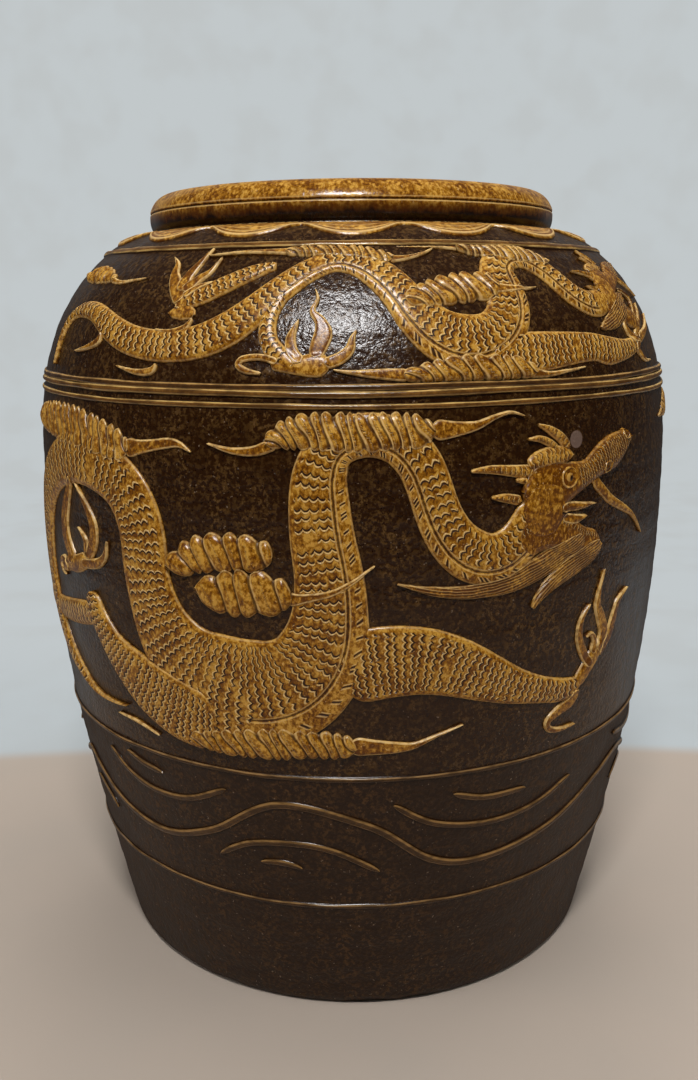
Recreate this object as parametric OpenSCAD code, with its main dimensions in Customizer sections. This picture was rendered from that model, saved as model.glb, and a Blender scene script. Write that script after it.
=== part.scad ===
// Large stoneware storage jar with a dark glaze and applied relief.
// Two registers of dragons among clouds lie between raised cordons, over a band of waves.
// Millimetres, +Z up, origin at the centre of the foot; azimuth 0 faces -Y and grows towards +X.

/* [Jar] */
// Radius of the foot on the floor
foot_r = 232; // [200:1:260]
// Largest radius of the belly
belly_r = 292; // [270:1:320]
// Height of the largest radius
belly_z = 417; // [380:1:440]
// Height where the shoulder turns into the collar shelf
neck_z = 646.5; // [640:0.5:690]
// Thickness of the thrown wall
wall = 14; // [10:1:20]
// Thickness of the base
base_t = 20; // [14:1:28]
// Rounding turned on the foot's outer edge
foot_round = 3; // [1:0.5:6]
// Depth of the hollow turned under the base
foot_hollow = 5; // [2:1:8]
// Width of the standing foot ring
foot_ring_w = 36; // [24:1:60]
// How full the shoulder is before it turns over
shoulder_fullness = 3.25; // [2.6:0.05:3.8]
// How fast the shoulder turns over
shoulder_turn = 0.8; // [0.7:0.02:0.9]

/* [Mouth] */
// Largest radius of the rolled rim
rim_r = 185; // [165:1:210]
// Width of the rolled rim from its outside to the open mouth
rim_w = 23; // [16:0.5:30]
// Height of the rolled rim over the collar shelf
rim_h = 34; // [26:1:40]
// Width of the collar shelf from the rim to the shoulder's turn
shelf_w = 18; // [10:0.5:30]
// Rise of the collar shelf from the shoulder to the rim
shelf_rise = 3.5; // [2:0.5:6]
// Depth of the line cut round the rim
rim_groove = 1.2; // [0.6:0.2:2]

/* [Cordons] */
// Height of the cordon under the waves
wave_low_z = 110; // [95:1:120]
// Height of the cordon over the waves
wave_high_z = 233; // [225:1:245]
// Height of the lower cordon of the pair under the shoulder
band_low_z = 520; // [505:1:525]
// Height of the double cordon of the pair
band_high_z = 533; // [530:1:540]
// Height of the cordon at the top of the shoulder
collar_z = 633; // [628:1:637]
// Radius of a thin cordon's round
cordon_r = 2.2; // [1.5:0.1:3]
// Radius of each ridge of the double cordon
double_r = 2.8; // [2:0.1:3.4]

/* [Collar] */
// Number of lappets round the mouth
lappets = 16; // [12:1:20]
// How far the lappets reach out from the rim
lappet_out = 29; // [22:1:36]
// How deep the cusps between lappets cut back from that reach
lappet_deep = 15; // [8:1:20]
// Thickness of the lappet clay
lappet_t = 2; // [1.2:0.1:3]

/* [Relief] */
// Bedding gap between a sprig's back and the wall
bed = 0.1; // [0.05:0.05:0.4]
// Clearance between two sprigs that meet or cross
joint = 0.3; // [0.2:0.05:0.6]
// Thickness of the main dragons
main_h = 6; // [4:0.5:7]
// Thickness of the shoulder dragons
sho_h = 5; // [3:0.5:6]
// Extra thickness of a sprig that crosses over another
over_h = 3; // [2:0.25:5]
// Depth of the lines cut along a dragon's belly band
belly_line = 1.2; // [0.6:0.1:2]
// Half width of the wave lines
wave_w = 2.4; // [1.5:0.1:4]
// Height of the wave lines
wave_h = 2.2; // [1.2:0.1:3]
// Share of a cloud's half width taken by the scallops
scallop = 0.16; // [0:0.02:0.3]

/* [Hidden] */
$fn = 144;
jar_h = neck_z + shelf_rise + rim_h;
rim_z = neck_z + shelf_rise;
// Open mouth, neck and lappets keep their widths from the rim
mouth_r = rim_r - rim_w;
neck_r = rim_r + shelf_w;
lappet_reach = rim_r + lappet_out;
lappet_cusp = lappet_reach - lappet_deep;
wall_steps = 16;
shoulder_steps = 12;
// A belly band's line is cut only where a body's half width is over this
line_from = 11;
half_turn = 180;
// Foot and head line of each register's drawing; the drawing scales with its register
main_lines = [0, 287];
sho_lines = [0, 100];
wave_lines = [0, 123];
main_k = (band_low_z - wave_high_z)/(main_lines[1] - main_lines[0]);
sho_k = (collar_z - band_high_z)/(sho_lines[1] - sho_lines[0]);
wave_k = (wave_high_z - wave_low_z)/(wave_lines[1] - wave_lines[0]);

// Centre lines of the relief as [azimuth, height in the register, half width], in degrees and mm
// Main dragon: tail, belly loop, column and neck loop
main_body = [
    [-41, 37, 1], [-46, 35.5, 1.6], [-51, 38, 3], [-56, 48, 7], [-61, 65, 10], [-65, 90, 13],
    [-67.5, 120, 16], [-68, 150, 18.5], [-66, 185, 20], [-62.5, 210, 20.5], [-57, 229, 20.5],
    [-50, 238, 21], [-43.5, 236, 22], [-38, 225, 23], [-34.8, 205, 24], [-33.6, 183, 24],
    [-33.4, 160, 24], [-32.5, 137, 25], [-30.5, 112, 30], [-27, 90, 37], [-22, 76, 43],
    [-16, 70, 45], [-10.5, 76, 43], [-6.5, 92, 38], [-4.4, 114, 33], [-3.6, 140, 28],
    [-3.8, 167, 25.5], [-4.6, 192, 24], [-5, 216, 22.5], [-4.9, 240, 20], [-3, 260, 17],
    [1.5, 268, 16], [6, 263, 16.5], [9, 248, 17], [10.5, 230, 17], [11.9, 209, 17.5],
    [14, 190, 19], [17, 177, 20.5], [20.5, 173, 20], [24, 181, 19], [26.5, 196, 18]
];

// Main dragon: foreleg from shoulder to wrist
main_foreleg = [
    [1, 95, 29], [5, 99, 29], [10, 98, 27], [15, 91, 24], [20, 80, 20], [25, 69, 15.5],
    [30, 61, 12], [35, 55, 10.5], [39, 55, 8]
];

// Main dragon: near hind leg from haunch to hock
main_hindleg = [
    [-22, 40, 24], [-26, 43, 27], [-30, 49, 28], [-35, 61, 26], [-39.5, 75, 20], [-43, 90, 15],
    [-45.7, 107, 12.5], [-47, 121, 10.5], [-47.3, 130, 7]
];

// Main dragon: far hind leg, passing round to the back
main_shank = [
    [-46, 112, 9], [-51, 107, 11], [-57, 102, 11], [-64, 98, 10], [-71, 98, 9], [-77, 103, 8],
    [-81, 112, 7]
];

// Main dragon: fore paw, three claws, dew claw and spur
main_fore_claws = [
  [
    [38.5, 55, 7], [40.5, 66, 8], [42.5, 78, 8], [43.5, 88, 5]
  ],
  [
    [41.2, 70, 4], [39.2, 84, 4.5], [37.9, 98, 4], [38, 112, 3], [39.6, 124, 1]
  ],
  [
    [41.5, 80, 3], [41.9, 90, 3], [40.9, 97, 2.2], [39.4, 96, 1]
  ],
  [
    [43, 80, 5], [44.3, 94, 6], [43.2, 108, 5.5], [41.8, 121, 4], [42, 136, 2], [42.7, 150, 0.8]
  ],
  [
    [43.5, 76, 4.5], [46, 90, 5], [47, 104, 4.5], [48, 118, 3], [50.6, 127, 1]
  ],
  [
    [38.8, 52, 6], [37.8, 42, 6], [35, 36.5, 5], [32.9, 30, 3.5], [33.4, 22.5, 3], [36, 19, 2.2],
    [39.5, 20, 0.9]
  ]
];

// Main dragon: hind paw and its claws
main_hind_claws = [
  [
    [-57.5, 139, 4], [-55, 146, 7], [-51.5, 149, 8], [-48, 156, 7]
  ],
  [
    [-52.5, 150, 6], [-55, 164, 8], [-55.6, 182, 7.5], [-53.8, 203, 6], [-51.2, 222, 2]
  ],
  [
    [-47.5, 158, 5], [-45.6, 172, 6], [-45.4, 187, 5.5], [-47.2, 202, 3.4], [-50, 218, 0.9]
  ],
  [
    [-48, 162, 4], [-47.9, 172, 3.2], [-49.8, 182, 0.9]
  ],
  [
    [-49, 152, 4.5], [-45, 155, 4.5], [-42.6, 163, 3.2], [-41.4, 177, 0.9]
  ],
  [
    [-55, 141, 4.5], [-57.3, 147, 4], [-59, 144, 3], [-58.5, 137, 2.2], [-56.5, 134.5, 1]
  ]
];

// Main dragon: skull and snout, crest, lower jaw, lips
main_head = [
  [
    [25, 195, 20], [28.5, 207, 21], [31.5, 220, 19], [34, 230, 15], [37, 237, 13],
    [40.5, 245, 11.5], [44, 252, 9], [47.3, 256, 6.5], [49, 258, 3]
  ],
  [
    [26, 233, 6], [29, 243, 9.5], [32.5, 247, 8], [34.3, 250, 4]
  ],
  [
    [26, 182, 14], [29.5, 187, 17], [33, 190, 14], [36, 189, 10], [39, 184, 8], [40.6, 177, 5]
  ],
  [
    [33, 209, 4], [36, 208.5, 3], [39, 209, 1]
  ],
  [
    [33, 201, 4], [35.5, 199, 3], [37.3, 196.5, 1]
  ]
];

// Main dragon: horns and ear
main_horns = [
  [
    [31.5, 231, 6], [27, 232, 5.5], [22, 237, 4], [19, 239, 3], [16, 240, 1.2]
  ],
  [
    [27.5, 224, 4], [23.5, 227, 3.2], [19, 229, 1.2]
  ],
  [
    [33.6, 249, 4.5], [32, 258, 4], [30, 265, 3], [27.3, 269, 1.2]
  ],
  [
    [31.5, 250, 4], [30, 257.5, 3.4], [28, 260, 2.8], [25.3, 260.5, 1.2]
  ],
  [
    [24, 214, 4], [22, 218, 3.2], [19.6, 219.5, 1.2]
  ]
];

// Main dragon: long beard, short beard, whisker
main_beard = [
  [
    [40.3, 177, 4], [37, 170, 9], [33, 165, 10], [28, 158, 9], [23, 152, 7.5], [17, 150, 5.5],
    [12, 152, 4], [8.5, 156, 2], [5.8, 160, 0.8]
  ],
  [
    [38.5, 166, 8], [34.5, 159, 8], [31, 150, 7], [28.8, 140, 5], [27.3, 131, 2.2]
  ],
  [
    [38.7, 227, 4], [39.7, 219, 5], [42, 209, 4.5], [45.5, 203, 4], [49, 196, 3.2], [51.5, 186, 2],
    [54.2, 168, 0.8]
  ]
];

// Main register cloud bank: crest
main_cloud_crest = [
    [-12.5, 262, 5], [-10, 267, 11], [-7, 270, 13.5], [-3, 270, 14.5], [1, 269, 14.5],
    [5, 270, 14], [9, 269.5, 12.5], [11.3, 270, 8]
];

// Its trailing wisps
main_cloud_crest_tails = [
  [
    [-11, 262, 5], [-14, 256, 4], [-17.5, 255.5, 2.5], [-21.3, 260, 0.8]
  ],
  [
    [10.8, 270, 9], [14, 270, 6], [17.5, 272, 3.5], [20.5, 277.5, 2], [23, 280, 1.4],
    [25.2, 277, 0.7]
  ]
];

// Main register cloud bank: arch
main_cloud_arch = [
    [-75, 262, 8], [-70, 264, 11], [-63, 265, 14], [-56, 265, 16], [-50, 264, 16], [-45, 261, 15],
    [-41, 257, 14], [-37.8, 253, 12], [-35.8, 250, 7]
];

// Its trailing wisps
main_cloud_arch_tails = [
  [
    [-36.6, 252, 10], [-34, 253.5, 6], [-31, 256, 4.5], [-28, 258.5, 4], [-26, 258, 2.5],
    [-24, 253, 0.8]
  ],
  [
    [-74, 262, 6], [-78, 258, 4], [-82, 256, 2.5], [-86, 259, 0.8]
  ]
];

// Main register cloud bank: side upper
main_cloud_side_upper = [
    [-29, 166, 7], [-26.5, 170, 12], [-23.5, 177, 15], [-20, 180, 16], [-16.5, 181, 15],
    [-13.3, 180, 13], [-11.7, 179, 8]
];

// Main register cloud bank: side lower
main_cloud_side_lower = [
    [-24, 152, 7], [-22, 150, 14], [-18.5, 150, 19], [-15, 151, 19], [-11.5, 150, 16],
    [-9, 149, 10]
];

// Its trailing wisps
main_cloud_side_lower_tails = [
  [
    [-10, 147, 6], [-7, 150, 3.5], [-3.5, 154, 2.5], [-0.5, 162, 1.8], [2.8, 174, 0.8]
  ]
];

// Main register cloud bank: foot
main_cloud_foot = [
    [-27, 26, 8], [-22, 26, 12], [-17, 28, 14], [-12, 30, 15], [-7, 31, 13], [-3, 30, 12],
    [0, 29, 8]
];

// Its trailing wisps
main_cloud_foot_tails = [
  [
    [-1, 30, 9], [2, 29, 7], [6, 28, 5], [9, 29, 3], [12.5, 36, 1.6], [16.7, 43.5, 0.7]
  ]
];

// Main register cloud bank: far
main_cloud_far = [
    [63, 264, 5], [66, 267, 10], [71, 268, 13], [76, 268, 13], [81, 266, 10], [84, 264, 5]
];

// Its trailing wisps
main_cloud_far_tails = [
  [
    [64, 264, 5], [60, 261, 3], [55, 261, 2], [50.5, 264, 0.8]
  ],
  [
    [83, 264, 5], [87, 260, 3.5], [91, 259, 2], [95, 262, 0.8]
  ]
];

// Thin wisp of cloud under the hind leg
main_wisp = [
    [-44, 27, 0.8], [-39, 25, 1.6], [-34, 19, 0.8]
];

// Shoulder dragon: tail, arch, loop and neck
sho_body = [
    [-61, 9, 1], [-61.2, 27, 2.5], [-60.7, 41, 4.5], [-58.5, 50.5, 6], [-54.5, 53.5, 7.5],
    [-50, 51.5, 8.5], [-46, 45, 10], [-41, 36, 11.5], [-36, 30, 12], [-30, 27.5, 12.5],
    [-24, 31, 13.5], [-19, 41, 14], [-15, 55, 12.5], [-11.5, 68, 11.5], [-7.5, 80, 10.5],
    [-3, 87, 11], [1.5, 84, 12.5], [5, 75, 14], [7.6, 63, 15], [9.7, 50, 17.5], [12, 39, 19.5],
    [15, 31, 21.5], [18.5, 29, 21.5], [22, 34, 19.5], [24.6, 45, 18.5], [25.6, 58, 18],
    [25.4, 71, 17], [25.8, 82, 14.5], [28.5, 89, 12], [32.5, 89, 11.5], [36.3, 80, 11.5],
    [39, 68, 12], [41.8, 59, 12], [45, 55, 12], [48, 57, 11], [50, 61, 10]
];

// Shoulder dragon: foreleg
sho_foreleg = [
    [26, 21, 15], [30, 22, 15], [37, 23.5, 12.5], [41.5, 23, 11.5], [45, 20, 12], [50.5, 20, 8.5],
    [54, 22, 7], [57, 26, 5]
];

// Shoulder dragon: hind leg thrown back
sho_hind_a = [
    [-13, 84, 4], [-16.5, 80, 7], [-20.5, 73, 8], [-24.5, 65, 8.5], [-28, 59, 7.5],
    [-29.5, 53, 4.5]
];

// Shoulder dragon: hind leg under the arch
sho_hind_b = [
    [-8.4, 74, 5], [-11.4, 62, 6], [-12.9, 47, 6.5], [-12.6, 32, 7], [-10.5, 20, 7.5],
    [-8.5, 15, 5]
];

// Shoulder dragon: paw and claws of the leg thrown back
sho_claws_a = [
  [
    [-30.5, 50, 3], [-28, 52, 7], [-25.5, 49, 3]
  ],
  [
    [-29, 58, 5.5], [-30.8, 68, 6.5], [-32.6, 78, 4.5], [-33.2, 86, 2.4], [-34.8, 91, 0.8]
  ],
  [
    [-29.5, 66, 5.5], [-29.5, 76, 5], [-28.4, 85, 3.5], [-26.6, 97, 0.9]
  ],
  [
    [-29, 66, 5], [-27, 75, 4], [-25.2, 80, 2.6], [-23.8, 90, 0.8]
  ],
  [
    [-28.5, 62, 3.5], [-26, 69.5, 2.8], [-23.5, 71.5, 1]
  ],
  [
    [-32.5, 39, 0.8], [-29.5, 37.5, 2.4], [-26.8, 41, 2.6], [-25.8, 47, 1.6]
  ]
];

// Shoulder dragon: paw and claws under the arch
sho_claws_b = [
  [
    [-11, 17, 2.6], [-13.5, 20.5, 2.6], [-16.2, 19.5, 2.6], [-17, 15, 2.6], [-15.6, 11, 2.4],
    [-13.3, 9.5, 1]
  ],
  [
    [-12, 17, 5.5], [-8, 14.5, 7], [-4, 14.5, 7], [-1.5, 17, 4]
  ],
  [
    [-8.5, 18, 5], [-9.6, 28, 5], [-9.2, 36, 3], [-8.4, 42, 1]
  ],
  [
    [-6, 18, 6], [-5.2, 28, 8], [-5.2, 40, 5], [-5.2, 58, 0.9]
  ],
  [
    [-3, 16, 5], [-1.7, 24, 4.5], [-1.4, 31, 3], [-2, 37, 1]
  ]
];

// Shoulder dragon: fore claws
sho_claws_c = [
  [
    [56, 26, 5], [54, 33, 4], [53.5, 40, 2.5], [56, 47, 1]
  ],
  [
    [57, 28, 5], [59.5, 36, 3.5], [62.5, 44, 2.5], [64.5, 55, 0.9]
  ],
  [
    [58, 27, 5], [62, 31, 3.5], [65.5, 36, 2.4], [69, 46, 0.9]
  ],
  [
    [55, 24, 5], [56.5, 17, 3.5], [58.5, 10, 2], [61.5, 9, 0.8]
  ]
];

// Shoulder dragon: skull, lower jaw, lip
sho_head = [
  [
    [49, 60, 12], [51.5, 68, 13], [54, 75, 12], [57, 79, 9], [60.5, 83, 7.5], [64, 87, 5],
    [66, 89, 2]
  ],
  [
    [49.5, 52, 8], [52.5, 54, 10], [56, 58, 7], [60, 60, 4.5], [62, 59, 2]
  ],
  [
    [56, 67, 3.5], [60, 69, 2.5], [63, 70, 1]
  ]
];

// Shoulder dragon: horns
sho_horns = [
  [
    [54, 80, 4], [50, 86, 3.2], [45.5, 93, 2.2], [42, 93, 1.6], [39.5, 89, 0.8]
  ],
  [
    [54, 78, 4], [50, 80, 3], [46, 86, 1]
  ],
  [
    [55, 83, 3.5], [53, 90, 2.6], [50, 95, 1]
  ]
];

// Shoulder dragon: beard and whisker
sho_beard = [
  [
    [57, 54, 4], [54, 48, 7], [50.5, 43, 6.5], [47, 38, 4], [44, 35.5, 1]
  ],
  [
    [60, 80, 3], [63, 73, 3], [66, 68, 2.2], [69, 60, 0.8]
  ]
];

// Shoulder register cloud bank: crest a
sho_cloud_crest_a = [
    [-12, 93, 4], [-9, 94, 6], [-4, 94, 8], [1, 92.5, 8.5], [5, 89.5, 7], [7, 88, 4]
];

// Its trailing wisps
sho_cloud_crest_a_tails = [
  [
    [-11, 94, 3.5], [-16, 94, 2.2], [-21, 93.5, 1.5], [-27, 91.5, 0.7]
  ],
  [
    [6, 88, 4], [9, 88.5, 2.5], [12, 91, 1.6], [14.6, 95, 0.7]
  ]
];

// Shoulder register cloud bank: crest b
sho_cloud_crest_b = [
    [19, 96, 3], [22, 95, 7], [27, 94, 10], [31, 92, 11], [35, 89.5, 8], [38, 85, 4]
];

// Its trailing wisps
sho_cloud_crest_b_tails = [
  [
    [20, 96, 3], [16, 97, 2.2], [12, 97.5, 1.5], [8, 97.5, 0.7]
  ]
];

// Shoulder register cloud bank: belly
sho_cloud_belly = [
    [8, 58, 5], [10.5, 61, 10], [14, 65, 13], [18, 67.5, 14], [21.8, 68.5, 13], [24.4, 69, 8]
];

// Its trailing wisps
sho_cloud_belly_tails = [
  [
    [22.5, 67, 6], [25, 65.5, 3.5], [28.5, 66, 2], [32, 67, 0.7]
  ]
];

// Shoulder register cloud bank: foot
sho_cloud_foot = [
    [7, 8, 4], [10, 9, 8], [15, 11.5, 10], [20, 11.5, 10], [25, 10.5, 9], [28, 7.5, 4]
];

// Its trailing wisps
sho_cloud_foot_tails = [
  [
    [8, 8, 5], [4, 9, 4], [0, 10, 2], [-3, 12, 0.7]
  ],
  [
    [26, 8, 5], [30, 5.5, 2.5], [34, 7, 1.5], [38, 9, 0.7]
  ]
];

// Shoulder register cloud bank: small
sho_cloud_small = [
    [-66, 80, 3], [-62.5, 81, 8], [-58.5, 81, 10], [-54.5, 80, 9], [-51, 78, 6], [-49, 76, 3]
];

// Its trailing wisps
sho_cloud_small_tails = [
  [
    [-50, 76, 3], [-46.5, 74, 2], [-43, 75, 1.4], [-39, 76.5, 0.7]
  ]
];

// Two small tail flames of the shoulder dragon
sho_flames = [
  [
    [-52.5, 21, 0.8], [-48.5, 25, 2.4], [-45.8, 30, 3.2], [-45.4, 36, 1.2]
  ],
  [
    [-39.3, 12, 0.8], [-35, 8.5, 2.4], [-32, 9.5, 3.2], [-31, 15, 1.2]
  ]
];

// Centre of the long swell over half of the jar: azimuth, height over the lower cordon
wave_swell = [
    [-63, 83], [-51, 55], [-38, 45], [-26, 62], [-13, 97], [2, 80], [13, 44], [23, 36], [38, 48],
    [52, 74], [62, 82], [78, 56], [90, 44], [104, 58], [117, 83]
];

// Arcs of ripple nested over the troughs and under the crests
wave_ripples = [
  [
    [-50, 108], [-45, 93], [-38, 85], [-30, 88], [-22, 105]
  ],
  [
    [-44, 114], [-40, 108], [-35, 105]
  ],
  [
    [6, 99], [13, 79], [23, 71], [33, 76], [41, 92]
  ],
  [
    [16, 104], [22, 96], [30, 96]
  ],
  [
    [-25, 40], [-19, 56], [-11, 61], [-4, 56], [4, 36]
  ],
  [
    [-17, 40], [-13, 41], [-9.5, 37.5]
  ],
  [
    [-62, 58], [-57, 47], [-54, 38]
  ],
  [
    [56, 106], [64, 98], [74, 96], [84, 103]
  ],
  [
    [62, 48], [68, 58], [76, 46]
  ],
  [
    [88, 96], [97, 86], [107, 93]
  ]
];

// Eyes and nostril of the heads: azimuth, height, radius, rise over the head
main_eyes = [[33.2, 229.5, 6.5, 3], [41.4, 232.5, 3.6, 1.5], [47.4, 257, 3.6, 1.5]];
sho_eyes = [[55.2, 77, 4.5, 2.5]];

// Radius of the outer wall at height z
function wall_r(z) = z <= belly_z
  ? foot_r + (belly_r - foot_r)*sin(90*z/belly_z)
  : neck_r + (belly_r - neck_r)*pow(1 - pow(min((z - belly_z)/(neck_z - belly_z), 1),
      shoulder_fullness), shoulder_turn);

// Change of that radius with height
function slope(z) = wall_r(z + 0.5) - wall_r(z - 0.5);
function stretch(z) = sqrt(1 + slope(z)*slope(z));

// Height of the outer skin at radius r, on the shoulder's turn and on the collar shelf
shelf_in = rim_r - rim_w*5/23;
function skin_z(r) = r < neck_r
  ? rim_z - shelf_rise*max(r - shelf_in, 0)/(neck_r - shelf_in)
  : belly_z + (neck_z - belly_z)*pow(1 - pow((r - neck_r)/(belly_r - neck_r), 1/shoulder_turn),
      1/shoulder_fullness);

// Heights of the wall's facets: even on the lower and belly walls, crowded towards the neck
low_zs = [for (i = [0:wall_steps/2]) base_t + (wave_high_z - base_t)*2*i/wall_steps];
belly_zs = [for (i = [0:wall_steps]) wave_high_z + (band_high_z - wave_high_z)*i/wall_steps];
sho_zs = [for (i = [0:shoulder_steps])
  band_high_z + (neck_z - band_high_z)*sin(90*i/shoulder_steps)];
function back(list) = [for (i = [len(list) - 1:-1:0]) list[i]];

// The wall's outer line at the heights zs, lifted off it by h; h = 0 is the wall itself
function skin(zs, h = 0) = [for (z = zs) [wall_r(z) + h/stretch(z), z - h*slope(z)/stretch(z)]];
// The same line one wall thickness inside, measured level
function lining(zs) = [for (z = zs) [wall_r(z) - wall*stretch(z), z]];

// Smooth curve through the points of a sprig's centre line
function mix(a, b, c, d, u) = 0.5*(2*b + (c - a)*u + (2*a - 5*b + 4*c - d)*u*u
  + (3*b - a - 3*c + d)*u*u*u);
function smooth(p, n) = [for (i = [0:len(p) - 2], k = [0:n - 1])
  mix(p[max(i - 1, 0)], p[i], p[i + 1], p[min(i + 2, len(p) - 1)], k/n), p[len(p) - 1]];

// A register is [base height, scale of the drawing, facet heights, lowest and highest clay]
main = [wave_high_z, main_k, belly_zs, wave_high_z + cordon_r + joint, band_low_z - cordon_r - joint];
sho = [band_high_z, sho_k, sho_zs, band_high_z + double_r + joint, collar_z - cordon_r - joint];
wav = [wave_low_z, wave_k, concat(low_zs, [for (z = belly_zs) if (z > wave_high_z) z]),
  wave_low_z + cordon_r + joint, wave_high_z - cordon_r - joint];

// One edge of a strip of clay as seen straight on from azimuth a0: side is -1 to 1 across it
function rail(s, reg, a0, side, lobes) = [for (i = [0:len(s) - 1])
  let(n = len(s), p = s[max(i - 1, 0)], q = s[min(i + 1, n - 1)],
    z = reg[0] + s[i][1]*reg[1], r = wall_r(z), g = stretch(z),
    dx = (q[0] - p[0])*PI/180*r, dz = (q[1] - p[1])*reg[1]*g, run = norm([dx, dz]),
    w = side*s[i][2]*reg[1]*(lobes == 0 ? 1 : 1 - scallop*(1 - abs(sin(180*lobes*i/(n - 1))))),
    a = s[i][0] - dz/run*w/r*180/PI, ze = z + dx/run*w/g)
  [wall_r(ze)*sin(a - a0), ze]];

// Flat outline of one strip, seen from azimuth a0
module strip(pts, reg, a0, steps = 1, lobes = 0) {
  s = smooth(pts, steps);
  polygon(concat(rail(s, reg, a0, 1, lobes), back(rail(s, reg, a0, -1, 0.999*lobes))));
}
// Flat outline of the line cut between a dragon's scales and its belly band
module band_line(pts, reg, a0) {
  s = smooth([for (p = pts) if (p[2] > line_from) p], 2);
  polygon(concat(rail(s, reg, a0, -0.44, 0), back(rail(s, reg, a0, -0.5, 0))));
}
// Flat outline of several strips that belong to one sprig
module strips(list, reg, a0) for (p = list) strip(p, reg, a0, steps = 2);
// Flat outline of a cloud bank with its trailing wisps
module cloud(pts, tails, reg, a0, lobes) {
  strip(pts, reg, a0, steps = round(4*lobes/(len(pts) - 1)), lobes = lobes);
  strips(tails, reg, a0);
}
// Stands a flat outline on the wall at azimuth a0, from lo to hi off the wall's skin, grown by
// grow all round and held between the register's cordons
module sprig(reg, a0, lo, hi, grow = 0) intersection() {
  rotate_extrude() polygon(concat(skin(reg[2], lo), back(skin(reg[2], hi))));
  rotate([90, 0, a0]) linear_extrude(1.2*belly_r) intersection() {
    offset(delta = grow) children();
    translate([-2*belly_r, reg[3]]) square([4*belly_r, reg[4] - reg[3]]);
  }
}
// A round boss such as an eye on clay of thickness t, at azimuth e[0] and drawn height e[1]
module boss(reg, e, t) {
  y = reg[0] + e[1]*reg[1];
  rad = e[2]*reg[1];
  g = stretch(y);
  rotate([0, 0, e[0]]) translate([0, -wall_r(y) - 0.4*t/g, y - 0.4*t*slope(y)/g])
    rotate([90 + atan(slope(y)), 0, 0])
      cylinder(r1 = rad, r2 = 0.6*rad, h = 0.6*t + e[3]*reg[1], $fn = 32);
}
// A round cordon laid on the wall at height z
module cordon(z, rad) rotate_extrude() difference() {
  translate([wall_r(z) + 0.5*rad, z]) polygon([for (i = [0:11]) rad*[cos(30*i + 15), sin(30*i + 15)]]);
  polygon(concat([[wall_r(z) - 4*rad, z - 3*rad]],
    [for (i = [-6:6]) let(y = z + 0.5*i*rad) [wall_r(y) + 0.05, y]],
    [[wall_r(z) - 4*rad, z + 3*rad]]));
}

glaze = [0.24, 0.17, 0.12];
amber = [0.66, 0.46, 0.18];

// Thrown base with a standing ring
module base_slab() {
  color(glaze) difference() {
    rotate_extrude() polygon(concat([[0, 0], [foot_r - foot_round, 0]],
      [for (i = [1:3]) let(z = base_t*i/3) [wall_r(z), z]], [[0, base_t]]));
    translate([0, 0, -1]) cylinder(r = foot_r - foot_ring_w, h = foot_hollow + 1);
  }
}
// Thrown sections of the wall, each luted to the one below
module lower_wall() color(glaze) rotate_extrude()
  polygon(concat(skin(low_zs), back(lining(low_zs))));
module belly_wall() color(glaze) rotate_extrude()
  polygon(concat(skin(belly_zs), back(lining(belly_zs))));
module shoulder_wall() {
  under = rim_z - wall - shelf_rise;
  color(glaze) rotate_extrude() polygon(concat(skin(sho_zs),
    [[shelf_in, rim_z], [mouth_r, rim_z], [mouth_r, under]],
    [for (p = back(skin(sho_zs, -wall)))
      if (p[0] > mouth_r + 2 && p[1] > band_high_z + 2 && p[1] < under) p],
    lining([band_high_z])));
}
// Rolled rim with a cut line and a bored mouth
module mouth_rim() {
  lip = rim_h/34;
  roll = rim_w/23;
  color(amber) rotate_extrude() polygon([[mouth_r, rim_z], [shelf_in, rim_z],
    [rim_r - 2.5*roll, rim_z + 3*lip], [rim_r - 0.5*roll, rim_z + 7*lip], [rim_r, rim_z + 12*lip],
    [rim_r, rim_z + 16.5*lip], [rim_r - rim_groove, rim_z + 18*lip],
    [rim_r - 0.3*roll, rim_z + 19.5*lip], [rim_r - 1.5*roll, rim_z + 23*lip],
    [rim_r - 4.5*roll, rim_z + 28*lip], [rim_r - 9*roll, rim_z + 32*lip],
    [rim_r - 14*roll, rim_z + 34*lip], [mouth_r + 4*roll, rim_z + 33*lip],
    [mouth_r + roll, rim_z + 30*lip], [mouth_r, rim_z + 26*lip]]);
}

module collar_cordon() color(amber) cordon(collar_z, cordon_r);
module band_high_cordon() {
  color(amber) union() {
    cordon(band_high_z, double_r);
    cordon(band_high_z - 1.6*double_r, double_r);
  }
}
module band_low_cordon() color(amber) cordon(band_low_z, cordon_r);
module wave_high_cordon() color(glaze) cordon(wave_high_z, cordon_r);
module wave_low_cordon() color(glaze) cordon(wave_low_z, cordon_r);

// Scalloped collar on the shelf round the rim
module lappet_collar() {
  half_chord = lappet_cusp*sin(180/lappets);
  rise = lappet_reach - lappet_cusp*cos(180/lappets);
  round_r = (half_chord*half_chord + rise*rise)/(2*rise);
  radii = [for (i = [0:10]) shelf_in + 0.5 + (lappet_reach + 3 - shelf_in)*i/10];
  color(amber) intersection() {
    rotate_extrude() polygon(concat(
      [for (r = radii) [r, skin_z(r) + 0.2]],
      [for (i = [10:-1:0]) [radii[i], skin_z(radii[i]) + 0.2 + lappet_t]]));
    translate([0, 0, rim_z - rim_h]) linear_extrude(2*rim_h) difference() {
      union() {
        circle(r = lappet_cusp);
        for (i = [0:lappets - 1]) rotate(i*360/lappets - 90)
          translate([lappet_reach - round_r, 0]) circle(r = round_r, $fn = 48);
      }
      circle(r = shelf_in + 3.5);
    }
  }
}

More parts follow.
